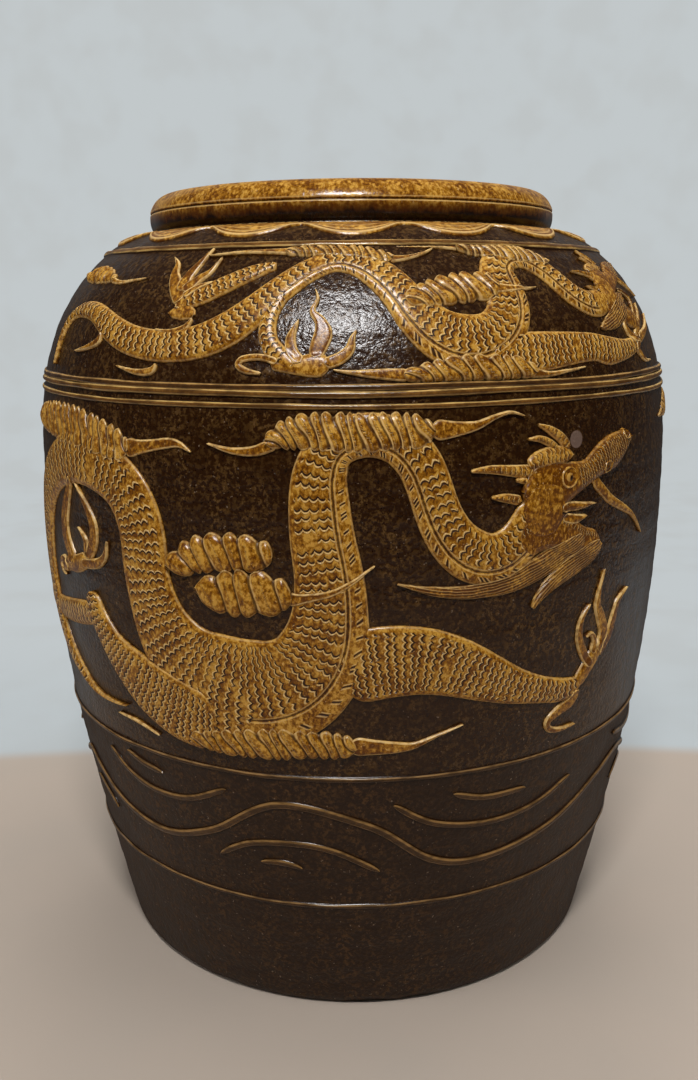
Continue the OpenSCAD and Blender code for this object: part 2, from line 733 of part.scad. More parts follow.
// Waves: one long swell and ripples, drawn on half of the jar and repeated
function wave_pts(p) = [for (q = p) [q[0], q[1], wave_w/wave_k]];
module wave_half(list, a0) sprig(wav, a0, bed, wave_h)
  for (p = list) strip(wave_pts(p), wav, a0, steps = 3);
module wave_swell() color(glaze) wave_half([wave_swell], 27);
module wave_ripple() color(glaze) {
  wave_half([for (p = wave_ripples) if (p[0][0] < 0) p], -35);
  wave_half([for (p = wave_ripples) if (p[0][0] >= 0 && p[0][0] < 50) p], 23);
  wave_half([for (p = wave_ripples) if (p[0][0] >= 50) p], 80);
}

// Main dragon. Each sprig has a clay module, which is also what its neighbours are cut with:
// called with lo = under and more = joint it clears the sprig on every side. A thicker sprig
// so crosses over a thinner one, and a thinner one stops short of it.
under = -1;
module m_body(lo = bed, more = 0) sprig(main, -20, lo, main_h + more, more)
  strip(main_body, main, -20, steps = 2);
module m_foreleg(lo = bed, more = 0) sprig(main, 20, lo, main_h - 0.5 + more, more)
  strip(main_foreleg, main, 20, steps = 2);
module m_hindleg(lo = bed, more = 0) sprig(main, -50, lo, main_h + over_h - 0.5 + more, more) {
  strip(main_hindleg, main, -50, steps = 2);
  strip(main_shank, main, -50, steps = 2);
}
module m_head(lo = bed, more = 0) sprig(main, 36, lo, main_h + over_h - 1 + more, more)
  strips(main_head, main, 36);

module main_body() color(amber) difference() {
  m_body();
  sprig(main, -20, main_h - belly_line, main_h + 2) band_line(main_body, main, -20);
}
module main_foreleg() color(amber) difference() {
  m_foreleg();
  m_body(under, joint);
}
module main_hindleg() color(amber) difference() {
  m_hindleg();
  m_body(under, joint);
}
module main_head() color(amber) union() {
  difference() {
    m_head();
    m_body(under, joint);
  }
  for (e = main_eyes) boss(main, e, main_h + over_h - 1);
}
module main_horns() color(amber) difference() {
  sprig(main, 27, bed, main_h - 1) strips(main_horns, main, 27);
  m_head(under, joint);
}
module main_beard() color(amber) difference() {
  sprig(main, 30, bed, main_h - 1) strips(main_beard, main, 30);
  m_head(under, joint);
  m_body(under, joint);
}
module main_fore_claws() color(amber) difference() {
  sprig(main, 42, bed, main_h - 1) strips(main_fore_claws, main, 42);
  m_foreleg(under, joint);
}
module main_hind_claws() color(amber) difference() {
  sprig(main, -52, bed, main_h - 1) strips(main_hind_claws, main, -52);
  m_hindleg(under, joint);
  m_body(under, joint);
}

// Cloud banks of the main register
module cloud_crest() color(amber) difference() {
  sprig(main, 0, bed, main_h + over_h)
    cloud(main_cloud_crest, main_cloud_crest_tails, main, 0, 15);
  m_body(under, joint);
}
module cloud_arch() color(amber) difference() {
  sprig(main, -55, bed, main_h + over_h)
    cloud(main_cloud_arch, main_cloud_arch_tails, main, -55, 20);
  m_body(under, joint);
}
module cloud_side() color(amber) difference() {
  sprig(main, -15, bed, main_h + over_h) {
    cloud(main_cloud_side_upper, [], main, -15, 8);
    cloud(main_cloud_side_lower, main_cloud_side_lower_tails, main, -15, 6);
  }
  m_body(under, joint);
}
module cloud_foot() color(amber) difference() {
  sprig(main, -8, bed, main_h + 2*over_h - 1) {
    cloud(main_cloud_foot, main_cloud_foot_tails, main, -8, 14);
    strip(main_wisp, main, -8, steps = 2);
  }
  m_body(under, joint);
  m_hindleg(under, joint);
}
module cloud_far() color(amber) sprig(main, 75, bed, main_h + 1)
  cloud(main_cloud_far, main_cloud_far_tails, main, 75, 10);

// Shoulder dragon, made in the same way
module s_body(lo = bed, more = 0) sprig(sho, -5, lo, sho_h + more, more) {
  strip(sho_body, sho, -5, steps = 2);
  strips(sho_flames, sho, -5);
}
module s_foreleg(lo = bed, more = 0) sprig(sho, 42, lo, sho_h - 0.5 + more, more)
  strip(sho_foreleg, sho, 42, steps = 2);
module s_hindlegs(lo = bed, more = 0) sprig(sho, -18, lo, sho_h - 0.5 + more, more) {
  strip(sho_hind_a, sho, -18, steps = 2);
  strip(sho_hind_b, sho, -18, steps = 2);
}
module s_hind_claws(lo = bed, more = 0) sprig(sho, -18, lo, sho_h - 1 + more, more) {
  strips(sho_claws_a, sho, -18);
  strips(sho_claws_b, sho, -18);
}
module s_head(lo = bed, more = 0) sprig(sho, 55, lo, sho_h + over_h - 1 + more, more) {
  strips(sho_head, sho, 55);
  strips(sho_horns, sho, 55);
  strips(sho_beard, sho, 55);
}

module sho_body() color(amber) difference() {
  s_body();
  sprig(sho, -5, sho_h - belly_line, sho_h + 2) band_line(sho_body, sho, -5);
}
module sho_foreleg() color(amber) difference() {
  s_foreleg();
  s_body(under, joint);
}
module sho_hindlegs() color(amber) difference() {
  s_hindlegs();
  s_body(under, joint);
}
module sho_head() color(amber) union() {
  difference() {
    s_head();
    s_body(under, joint);
    s_foreleg(under, joint);
  }
  for (e = sho_eyes) boss(sho, e, sho_h + over_h - 1);
}
module sho_hind_claws() color(amber) difference() {
  s_hind_claws();
  s_hindlegs(under, joint);
  s_body(under, joint);
}
module sho_fore_claws() color(amber) difference() {
  sprig(sho, 60, bed, sho_h - 1) strips(sho_claws_c, sho, 60);
  s_foreleg(under, joint);
  s_head(under, joint);
}

// Cloud banks of the shoulder register
module sho_cloud_crest() color(amber) {
  difference() {
    sprig(sho, -5, bed, sho_h + over_h)
      cloud(sho_cloud_crest_a, sho_cloud_crest_a_tails, sho, -5, 11);
    s_body(under, joint);
    s_hindlegs(under, joint);
    s_hind_claws(under, joint);
  }
  difference() {
    sprig(sho, 25, bed, sho_h + over_h)
      cloud(sho_cloud_crest_b, sho_cloud_crest_b_tails, sho, 25, 12);
    s_body(under, joint);
  }
}
module sho_cloud_belly() color(amber) difference() {
  sprig(sho, 17, bed, sho_h + over_h)
    cloud(sho_cloud_belly, sho_cloud_belly_tails, sho, 17, 8);
  s_body(under, joint);
}
module sho_cloud_foot() color(amber) difference() {
  sprig(sho, 17, bed, sho_h + over_h)
    cloud(sho_cloud_foot, sho_cloud_foot_tails, sho, 17, 10);
  s_body(under, joint);
  s_foreleg(under, joint);
  s_hind_claws(under, joint);
}
module sho_cloud_small() color(amber) sprig(sho, -56, bed, sho_h)
  cloud(sho_cloud_small, sho_cloud_small_tails, sho, -56, 7);

base_slab();
lower_wall();
belly_wall();
shoulder_wall();
mouth_rim();
collar_cordon();
band_high_cordon();
band_low_cordon();
wave_high_cordon();
wave_low_cordon();
lappet_collar();
for (t = [0, half_turn]) rotate([0, 0, t]) wave_swell();
for (t = [0, half_turn]) rotate([0, 0, t]) wave_ripple();
main_body();  // main_body_a
main_foreleg();  // main_foreleg_a
main_hindleg();  // main_hindleg_a
main_head();  // main_head_a
main_horns();  // main_horns_a
main_beard();  // main_beard_a
main_fore_claws();  // main_fore_claws_a
main_hind_claws();  // main_hind_claws_a
rotate([0, 0, half_turn]) main_body();  // main_body_b
rotate([0, 0, half_turn]) main_foreleg();  // main_foreleg_b
rotate([0, 0, half_turn]) main_hindleg();  // main_hindleg_b
rotate([0, 0, half_turn]) main_head();  // main_head_b
rotate([0, 0, half_turn]) main_horns();  // main_horns_b
rotate([0, 0, half_turn]) main_beard();  // main_beard_b
rotate([0, 0, half_turn]) main_fore_claws();  // main_fore_claws_b
rotate([0, 0, half_turn]) main_hind_claws();  // main_hind_claws_b
cloud_crest();  // cloud_crest_a
cloud_arch();  // cloud_arch_a
cloud_side();  // cloud_side_a
cloud_foot();  // cloud_foot_a
cloud_far();  // cloud_far_a
rotate([0, 0, half_turn]) cloud_crest();  // cloud_crest_b
rotate([0, 0, half_turn]) cloud_arch();  // cloud_arch_b
rotate([0, 0, half_turn]) cloud_side();  // cloud_side_b
rotate([0, 0, half_turn]) cloud_foot();  // cloud_foot_b
rotate([0, 0, half_turn]) cloud_far();  // cloud_far_b
sho_body();  // sho_body_a
sho_foreleg();  // sho_foreleg_a
sho_hindlegs();  // sho_hindlegs_a
sho_head();  // sho_head_a
sho_hind_claws();  // sho_hind_claws_a
sho_fore_claws();  // sho_fore_claws_a
rotate([0, 0, half_turn]) sho_body();  // sho_body_b
rotate([0, 0, half_turn]) sho_foreleg();  // sho_foreleg_b
rotate([0, 0, half_turn]) sho_hindlegs();  // sho_hindlegs_b
rotate([0, 0, half_turn]) sho_head();  // sho_head_b
rotate([0, 0, half_turn]) sho_hind_claws();  // sho_hind_claws_b
rotate([0, 0, half_turn]) sho_fore_claws();  // sho_fore_claws_b
sho_cloud_crest();  // sho_cloud_crest_a
sho_cloud_belly();  // sho_cloud_belly_a
sho_cloud_foot();  // sho_cloud_foot_a
sho_cloud_small();  // sho_cloud_small_a
rotate([0, 0, half_turn]) sho_cloud_crest();  // sho_cloud_crest_b
rotate([0, 0, half_turn]) sho_cloud_belly();  // sho_cloud_belly_b
rotate([0, 0, half_turn]) sho_cloud_foot();  // sho_cloud_foot_b
rotate([0, 0, half_turn]) sho_cloud_small();  // sho_cloud_small_b
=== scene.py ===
"""Looks of a large glazed stoneware jar with applied dragon relief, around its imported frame.

The tables are in millimetres and degrees, as in part.scad: azimuth 0 faces -Y and grows
towards +X. Meshes are worked out in millimetres and written in metres.
"""

import math

import bpy
import numpy as np
from mathutils import Matrix, Vector


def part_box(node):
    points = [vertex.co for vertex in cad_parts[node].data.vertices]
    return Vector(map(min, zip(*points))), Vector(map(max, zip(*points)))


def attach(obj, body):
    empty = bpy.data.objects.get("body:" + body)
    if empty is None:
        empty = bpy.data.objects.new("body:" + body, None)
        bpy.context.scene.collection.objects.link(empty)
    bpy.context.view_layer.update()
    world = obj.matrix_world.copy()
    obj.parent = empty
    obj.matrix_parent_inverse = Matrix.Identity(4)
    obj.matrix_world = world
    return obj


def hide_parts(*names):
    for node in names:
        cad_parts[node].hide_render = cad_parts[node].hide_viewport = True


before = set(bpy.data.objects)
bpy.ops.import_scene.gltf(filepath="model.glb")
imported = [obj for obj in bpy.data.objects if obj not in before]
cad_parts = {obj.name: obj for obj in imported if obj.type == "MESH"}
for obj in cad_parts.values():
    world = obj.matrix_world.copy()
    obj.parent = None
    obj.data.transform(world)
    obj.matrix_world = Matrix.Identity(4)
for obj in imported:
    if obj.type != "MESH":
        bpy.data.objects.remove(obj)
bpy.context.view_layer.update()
MM = 1000.0


def corners(node):
    """Lowest and highest corner of a node, in millimetres."""
    return [[v * MM for v in corner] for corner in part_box(node)]


# Form of the jar, in mm
FOOT_R, BELLY_Z, NECK_R = 232.0, 417.0, 203.0
BELLY_R = corners("belly_wall")[1][0]
(_, _, RIM_Z), (RIM_R, _, JAR_H) = corners("mouth_rim")
SHELF_RISE, SHELF_IN = 3.5, RIM_R - 5
NECK_Z = RIM_Z - SHELF_RISE
FULLNESS, TURN = 3.25, 0.8
WALL, MOUTH_R = 14.0, 162.0
FOOT_HOLLOW, FOOT_RING, BASE_T = 5.0, 36.0, 20.0
COLLAR_Z, BAND_HIGH_Z, BAND_LOW_Z = 633.0, 533.0, 520.0
WAVE_HIGH_Z, WAVE_LOW_Z = 233.0, 110.0
CORDON_R, DOUBLE_R = 2.2, 2.8
LAPPETS, LAPPET_REACH, LAPPET_CUSP, LAPPET_T = 16, 218.0, 197.0, 2.0


def wall_r(z):
    """Radius of the outer wall at height z."""
    z = np.asarray(z, float)
    low = FOOT_R + (BELLY_R - FOOT_R) * np.sin(np.pi / 2 * np.clip(z / BELLY_Z, 0, 1))
    up = np.clip((z - BELLY_Z) / (NECK_Z - BELLY_Z), 0, 1)
    high = NECK_R + (BELLY_R - NECK_R) * (1 - up**FULLNESS) ** TURN
    return np.where(z <= BELLY_Z, low, high)


def slope(z):
    """How much the wall's radius grows in a millimetre of height."""
    return wall_r(z + 0.5) - wall_r(z - 0.5)


def stretch(z):
    """Length along the wall for a millimetre of height."""
    return np.sqrt(1 + slope(z) ** 2)


def shelf_z(r):
    """Height of the skin at radius r, on the shoulder's turn and the collar shelf."""
    r = np.asarray(r, float)
    flat = RIM_Z - SHELF_RISE * np.maximum(r - SHELF_IN, 0) / (NECK_R - SHELF_IN)
    out = np.clip((r - NECK_R) / (BELLY_R - NECK_R), 0, 1)
    turn = BELLY_Z + (NECK_Z - BELLY_Z) * (1 - out ** (1 / TURN)) ** (1 / FULLNESS)
    return np.where(r < NECK_R, flat, turn)


def on_wall(az, z, lift):
    """Points that stand lift off the outer wall at azimuth az and height z."""
    a, g, sl = np.radians(az), stretch(z), slope(z)
    r = wall_r(z) + lift / g
    return np.stack([r * np.sin(a), -r * np.cos(a), z - lift * sl / g], -1)


# Meshes
class Clay:
    """Sheets of clay that make one piece, with what its glaze needs at each point:
    su is (along, across, half width) and tone is (to the edge, to a groove, relief)."""

    def __init__(self):
        self.points, self.faces, self.glaze, self.su, self.tone = [], [], [], [], []
        self.count, self.mats = 0, []

    def sheet(self, pts, mat, su=None, tone=None, flip=False, ring=False):
        n, m = pts.shape[:2]
        i, j = np.meshgrid(np.arange(n - 1), np.arange(m if ring else m - 1), indexing="ij")
        k = (j + 1) % m
        quads = np.stack([i * m + j, (i + 1) * m + j, (i + 1) * m + k, i * m + k], -1).reshape(-1, 4)
        if flip:
            quads = quads[:, ::-1]
        if mat not in self.mats:
            self.mats.append(mat)
        self.points.append(pts.reshape(-1, 3))
        for rows, given in ((self.su, su), (self.tone, tone)):
            rows.append((np.zeros((n, m, 3)) if given is None else given).reshape(-1, 3))
        self.faces.append(quads + self.count)
        self.glaze.append(np.full(len(quads), self.mats.index(mat)))
        self.count += n * m

    def build(self, name, turn=1):
        """Makes the mesh; turn=-1 puts it half a turn round the jar."""
        pts = np.concatenate(self.points) / MM * np.array([turn, turn, 1])
        mesh = bpy.data.meshes.new(name)
        mesh.from_pydata(pts, [], np.concatenate(self.faces))
        for mat in self.mats:
            mesh.materials.append(mat)
        mesh.polygons.foreach_set("material_index", np.concatenate(self.glaze))
        for key, rows in (("su", self.su), ("tone", self.tone)):
            layer = mesh.attributes.new(key, "FLOAT_VECTOR", "POINT")
            layer.data.foreach_set("vector", np.concatenate(rows).astype(np.float32).ravel())
        mesh.shade_smooth()
        return add_object(name, mesh)

    def piece(self, name, nodes, turn=1):
        """Makes the piece that stands for these nodes."""
        obj = self.build(name, turn)
        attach(obj, "root")
        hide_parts(*nodes)


def add_object(name, data):
    """Links a mesh, a lamp or a camera into the scene."""
    obj = bpy.data.objects.new(name, data)
    bpy.context.scene.collection.objects.link(obj)
    return obj


def turned(line, angles):
    """Sheet made by turning a line of (radius, height) round the jar's axis."""
    r, z = np.array(line, float).T
    a = np.radians(angles)
    x = r[:, None] * np.sin(a)[None]
    y = -r[:, None] * np.cos(a)[None]
    return np.stack([x, y, np.repeat(z[:, None], len(a), 1)], -1)


def smooth(p, n):
    """Catmull-Rom curve through p with n steps a span, as part.scad draws it."""
    p = np.array(p, float)
    out = []
    for i in range(len(p) - 1):
        a, b, c, d = p[max(i - 1, 0)], p[i], p[i + 1], p[min(i + 2, len(p) - 1)]
        for k in range(n):
            u = k / n
            out.append(0.5 * (2 * b + (c - a) * u + (2 * a - 5 * b + 4 * c - d) * u * u
                              + (3 * b - a - 3 * c + d) * u**3))
    return np.array(out + [p[-1]])


def even_out(rows, times):
    """Smooths all rows but the first and last, in place."""
    for k in range(times):
        rows[1:-1] = (rows[:-2] + 2 * rows[1:-1] + rows[2:]) / 4


def wave(seed, count=5, low=1, high=6):
    """Smooth repeatable waviness round the jar: a function of azimuth in degrees, about -1 to 1."""
    rng = np.random.default_rng(seed)
    turns = rng.integers(low, high + 1, count)
    phase = rng.uniform(0, 2 * np.pi, count)
    return lambda az: sum(np.sin(np.radians(az) * t + f) for t, f in zip(turns, phase)) / count


class Field:
    """How far the clay laid so far stands off the wall, by azimuth and height."""

    CELL, HIGH = 0.25, 700

    def __init__(self):
        self.h = np.zeros((self.HIGH, round(360 / self.CELL)))
        self.soft = self.h

    def lay(self, az, z, lift):
        for half in (0, 180):
            a = (az + half) / self.CELL
            for da in (0, 1):
                for dz in (0, 1):
                    i = np.clip(np.floor(z).astype(int) + dz, 0, self.HIGH - 1)
                    j = (np.floor(a).astype(int) + da) % self.h.shape[1]
                    np.maximum.at(self.h, (i, j), lift)
        h = self.h
        h = (h + np.roll(h, 1, 1) + np.roll(h, -1, 1)) / 3
        self.soft = (h + np.roll(h, 1, 0) + np.roll(h, -1, 0)) / 3

    def at(self, az, z):
        i = np.clip(np.round(z).astype(int), 0, self.HIGH - 1)
        j = np.round(az / self.CELL).astype(int) % self.h.shape[1]
        return self.soft[i, j]


field = Field()
# Registers: base height, and millimetres of wall height for one of the drawing
MAIN = (WAVE_HIGH_Z, (BAND_LOW_Z - WAVE_HIGH_Z) / 287)
SHO = (BAND_HIGH_Z, (COLLAR_Z - BAND_HIGH_Z) / 100)
WAV = (WAVE_LOW_Z, (WAVE_HIGH_Z - WAVE_LOW_Z) / 123)
LIMITS = {
    MAIN: (WAVE_HIGH_Z + CORDON_R, BAND_LOW_Z - CORDON_R),
    SHO: (BAND_HIGH_Z + DOUBLE_R, COLLAR_Z - CORDON_R),
    WAV: (WAVE_LOW_Z + CORDON_R, WAVE_HIGH_Z - CORDON_R),
}
SPAN_STEPS = 24  # steps between two points of a drawing
ROW_GAP, FEWEST, MOST = 1.3, 9, 72  # grid across a sprig: gap in mm, and how many gaps
FADE = 1.5  # distance from a cordon over which a sprig thins out
SINK = 0.9  # how far a sprig's edge goes into what lies under it
SCALLOP_TOP, SCALLOP_FOOT = 0.3, 0.2  # share of the width that a cloud's grooves cut in


def centre(pts, reg, step):
    """A sprig's centre line in even steps: azimuth, height, half width, heading and length."""
    p = smooth(pts, SPAN_STEPS)
    z = reg[0] + p[:, 1] * reg[1]
    dx = np.radians(np.diff(p[:, 0])) * wall_r((z[1:] + z[:-1]) / 2)
    dz = np.diff(z) * stretch((z[1:] + z[:-1]) / 2)
    along = np.concatenate([[0], np.cumsum(np.hypot(dx, dz))])
    s = np.linspace(0, along[-1], max(int(along[-1] / step) + 1, 6))
    az, zz = np.interp(s, along, p[:, 0]), np.interp(s, along, z)
    half = np.interp(s, along, p[:, 2]) * reg[1]
    hx = np.gradient(np.radians(az), s) * wall_r(zz)
    hz = np.gradient(zz, s) * stretch(zz)
    even_out(hx, 2)
    even_out(hz, 2)
    run = np.hypot(hx, hz)
    return az, zz, half, hx / run, hz / run, s


def ribbon(clay, pts, reg, thick, mat, shape, over=0.0, step=1.2, lobes=0, ends=(0.6, 0.6),
           extra=(), even=0):
    """Lays one sprig along its centre line. shape(s, u, w, length) gives its relief from 0 to 1
    and its distance to the nearest groove; over is how much it adds where it crosses others,
    ends is how round its ends are, and extra is for more grid lines across it."""
    az, z, half, hx, hz, s = centre(pts, reg, step)
    length = s[-1]
    for far, end, share in ((s, 0, ends[0]), (length - s, -1, ends[1])):
        near = np.clip(far / max(share * half[end], 0.01), 0, 1)
        half = half * np.maximum(np.sqrt(1 - (1 - near) ** 2), 0.04)
    n = int(np.clip(2 * half.max() / ROW_GAP, FEWEST, MOST)) | 1
    u = np.unique(np.concatenate([np.sin(np.pi / 2 * np.linspace(-1, 1, n)), extra]))
    uu, ss = np.meshgrid(u, s)
    w = np.repeat(half[:, None], len(u), 1)
    if lobes:
        bite = np.where(uu > 0, SCALLOP_TOP, SCALLOP_FOOT)
        w = w * (1 - bite * (1 - np.abs(np.sin(np.pi * lobe_phase(ss / length, uu, lobes)))))
    relief, groove = shape(ss, uu, w, length)
    side = uu * w
    a = az[:, None] - np.degrees(hz[:, None] * side / wall_r(z)[:, None])
    ze = z[:, None] + hx[:, None] * side / stretch(z)[:, None]
    even_out(a, even)
    even_out(ze, even)
    low, high = LIMITS[reg]
    keep = np.clip(np.minimum(ze - low, high - ze) / FADE, 0, 1)
    ze = np.clip(ze, low, high)
    sunk = SINK * (1 - np.clip(relief * 5, 0, 1) * keep)
    lift = thick * relief * keep - sunk
    if over:
        below = field.at(a, ze)
        crossed = below + over * relief * keep - sunk
        lift = np.where(below > 0.3, np.maximum(lift, crossed), lift)
    su = np.stack([ss, side, w], -1)
    tone = np.stack([(1 - np.abs(uu)) * w, groove, relief], -1)
    clay.sheet(on_wall(a, ze, lift), mat, su, tone)
    field.lay(a, ze, lift)


# Shapes of sprigs: relief from 0 to 1, and millimetres to the nearest groove or to bare clay
CLEAR = 9.0  # stands for no groove near
BELLY_LINE = -0.47  # where the line along the belly band runs, as a share of the half width
BAND_FADE, NECK_CLEAR = 20, 20  # mm over which that band comes in, and mm of neck left unstamped
FAT_LOBES = 7  # a cloud of so few lobes has them fat and upright


def pillow(u, w, roll=6.0, power=0.7):
    """Rolled edge of constant width round a gently crowned back."""
    t = np.clip((1 - np.abs(u)) * w / np.minimum(roll, w), 0, 1)
    return (1 - (1 - t) ** 2) ** power * (0.74 + 0.26 * (1 - u * u))


def dome(u, power, edge):
    return (1 - np.abs(u) ** power) ** edge


def body_shape(band_from):
    """Full back with a border along one side, and a belly band behind a cut line on the other
    that begins at a distance along the body."""
    def shape(s, u, w, length):
        big = np.clip((w - 7) / 6, 0, 1)
        border = np.clip(0.2 * w, 1, 4.6)
        valley = np.exp(-(((1 - u) * w - border - 0.6) / 1.3) ** 2)
        line = np.exp(-((u - BELLY_LINE) * w / 1.6) ** 2) * np.clip((s - band_from) / BAND_FADE, 0, 1)
        return pillow(u, w) * (1 - big * (0.1 * valley + 0.16 * line)), length - s - NECK_CLEAR
    return shape


def plain_shape(s, u, w, length):
    return pillow(u, w, 5.0), np.full_like(u, CLEAR)


def skull_shape(s, u, w, length):
    """Smooth cheek; the stamped snout starts further along."""
    return pillow(u, w, 7.0), s - 52


def jaw_shape(s, u, w, length):
    """Stamped on its lower side only."""
    return pillow(u, w, 6.0), (u - 0.35) * w


def claw_shape(s, u, w, length):
    """A claw or wisp: raised along its edges and hollow down its middle."""
    hollow = np.exp(-(u / 0.5) ** 2) * np.clip((w - 2) / 3, 0, 1)
    return dome(u, 2.4, 0.6) * (1 - 0.34 * hollow), np.full_like(u, CLEAR)


def hair_shape(s, u, w, length):
    """Locks 2 mm wide that wander from side to side."""
    lock = np.abs(np.sin(np.pi * (u * w + 0.35 * np.sin(s / 9)) / 2))
    big = np.clip((w - 2.5) / 3, 0, 1)
    return dome(u, 2.4, 0.6) * (1 - 0.3 * big * (1 - lock)), lock


def wave_shape(s, u, w, length):
    return dome(u, 2.2, 0.75), u


def lobe_phase(t, u, lobes):
    """Uneven hand-cut lobes: grooves start straight at the top and lean as they go down."""
    f = lobes * t
    down = (1 - u) / 2
    lean = 0.95 if lobes > FAT_LOBES else 0.4
    return (f + 0.13 * np.sin(2.4 * f + 1.0) + 0.1 * np.sin(1.45 * f + 2.0)
            - lean * down * down * (3 - 2 * down) - 0.14 * np.sin(1.9 * f) * down)


def cloud_shape(lobes):
    """Puffed lobes. The distance to a groove is positive just past it and negative before it."""
    def shape(s, u, w, length):
        f = lobe_phase(s / length, u, lobes) % 1
        puff = (1 - np.abs(2 * f - 1) ** 2.2) ** 0.65
        groove = np.minimum(f, 1 - f) * length / lobes * np.sign(0.5 - f)
        return pillow(u, w, 6.5) * (0.42 + 0.58 * puff), groove
    return shape


def boss(clay, reg, az, h, rad, top, mat):
    """A round boss, such as an eye, with a raised ring round it."""
    z0 = reg[0] + h * reg[1]
    outer = 1.8 * rad
    rho = outer * np.sin(np.pi / 2 * np.linspace(0, 1, 15))
    rr, tt = np.meshgrid(rho, np.radians(np.arange(0, 360, 12)), indexing="ij")
    a = az + np.degrees(rr * np.sin(tt) / wall_r(z0))
    z = z0 + rr * np.cos(tt) / stretch(z0)
    below = field.at(a, z)
    foot = below.min() - 1
    ball = np.sqrt(np.clip(1 - (rr / rad) ** 2, 0, 1))
    ring = 1.68 * np.exp(-((rr - 1.42 * rad) / (0.16 * rad)) ** 2)
    lift = np.maximum(below - 0.6 + ring, foot + (top - foot) * ball)
    lift = np.where(rr > 0.98 * outer, below - 1.2, lift)
    su = np.stack([rr, tt, np.full_like(rr, rad)], -1)
    tone = np.stack([outer - rr, np.abs(rr - rad), ball], -1)
    clay.sheet(on_wall(a, z, lift), mat, su, tone, flip=True, ring=True)


# Glaze materials
class Val:
    """A shader socket or number that can be added, multiplied and so on."""

    tree = None

    def __init__(self, v):
        self.v = v.v if isinstance(v, Val) else v


def put(socket, v):
    v = v.v if isinstance(v, Val) else v
    if isinstance(v, bpy.types.NodeSocket):
        Val.tree.links.new(v, socket)
    else:
        socket.default_value = v


def add_node(kind, **props):
    n = Val.tree.nodes.new(f"ShaderNode{kind}")
    for k, v in props.items():
        setattr(n, k, v)
    return n


def fed(kind, *args, **props):
    """Adds a node and puts these values or sockets into its inputs, in order."""
    n = add_node(kind, **props)
    for socket, v in zip(n.inputs, args):
        put(socket, v)
    return n


def calc(op, *args):
    return Val(fed("Math", *args, operation=op).outputs[0])


def maths(op):
    return lambda *args: calc(op, *args)


for method, op in (("add", "ADD"), ("sub", "SUBTRACT"), ("mul", "MULTIPLY"), ("truediv", "DIVIDE"),
                   ("pow", "POWER")):
    setattr(Val, f"__{method}__", lambda a, b, op=op: calc(op, a, b))
    setattr(Val, f"__r{method}__", lambda a, b, op=op: calc(op, b, a))
sin, size_of, floor = maths("SINE"), maths("ABSOLUTE"), maths("FLOOR")
least, most = maths("MINIMUM"), maths("MAXIMUM")


def step(v, a, b):
    """0 at a and 1 at b, whichever of them is greater, and smooth between."""
    (low, at_low), (high, at_high) = sorted([(a, 0.0), (b, 1.0)])
    return Val(fed("MapRange", v, low, high, at_low, at_high, interpolation_type="SMOOTHSTEP").outputs[0])


def split(v):
    """The three numbers of a vector."""
    return [Val(o) for o in fed("SeparateXYZ", v).outputs]


def parts(name):
    """The three numbers of a mesh attribute."""
    return split(add_node("Attribute", attribute_name=name).outputs["Vector"])


def on_piece():
    """Position on the piece in metres."""
    return add_node("TexCoord").outputs["Object"]


def place(shift=0.0, scale=(1, 1, 1)):
    """Position on the piece in millimetres, with each axis scaled."""
    n = fed("VectorMath", on_piece(), [MM * k for k in scale], [shift] * 3, operation="MULTIPLY_ADD")
    return Val(n.outputs[0])


def away_from(point):
    """Distance from a point, in metres."""
    return Val(fed("VectorMath", on_piece(), point, operation="DISTANCE").outputs["Value"])


def noise(where, size, detail=2.0, rough=0.5):
    n = add_node("TexNoise")
    for key, v in (("Vector", where), ("Scale", 1 / size), ("Detail", detail), ("Roughness", rough)):
        put(n.inputs[key], v)
    return Val(n.outputs["Fac"])


def patches(shift, size, low, high, detail=2.0, rough=0.5, scale=(1, 1, 1)):
    """Soft-edged patches of about this size in mm, from 0 to 1."""
    return step(noise(place(shift, scale), size, detail, rough), low, high)


def chance(x, y, z=0.0):
    """A number from 0 to 1 drawn for each set of whole numbers."""
    n = add_node("TexWhiteNoise")
    put(n.inputs["Vector"], fed("CombineXYZ", x, y, z).outputs[0])
    return Val(n.outputs["Value"])


def blend(a, b, f):
    n = add_node("Mix", data_type="RGBA")
    put(n.inputs["Factor"], f)
    for socket, c in zip([s for s in n.inputs if s.type == "RGBA"], (a, b)):
        put(socket, (*c, 1) if isinstance(c, tuple) else c)
    return Val(next(o for o in n.outputs if o.type == "RGBA"))


def srgb(*rgb):
    """A colour written as 0 to 255, in linear light."""
    shares = [c / 255 for c in rgb]
    return tuple(c / 12.92 if c <= 0.04045 else ((c + 0.055) / 1.055) ** 2.4 for c in shares)


def new_material(name):
    mat = bpy.data.materials.new(name)
    mat.use_nodes = True
    Val.tree = mat.node_tree
    Val.tree.nodes.clear()
    return mat, add_node("OutputMaterial").inputs[0]


SPECULAR = 0.26  # how strongly the glaze reflects
SKIM = 0.45  # how much rougher it is where it is seen edge on


def glaze(name, paint):
    """A glazed clay: paint() gives colour, roughness and height in millimetres."""
    mat, surface = new_material(name)
    bsdf = add_node("BsdfPrincipled")
    put(surface, bsdf.outputs[0])
    bsdf.inputs["Specular IOR Level"].default_value = SPECULAR
    color, rough, height = paint()
    put(bsdf.inputs["Base Color"], color)
    facing = Val(add_node("LayerWeight").outputs["Facing"])
    put(bsdf.inputs["Roughness"], rough + facing**3 * SKIM)
    bump = add_node("Bump")
    bump.inputs["Distance"].default_value = 1 / MM
    put(bump.inputs["Height"], height)
    put(bsdf.inputs["Normal"], bump.outputs[0])
    return mat


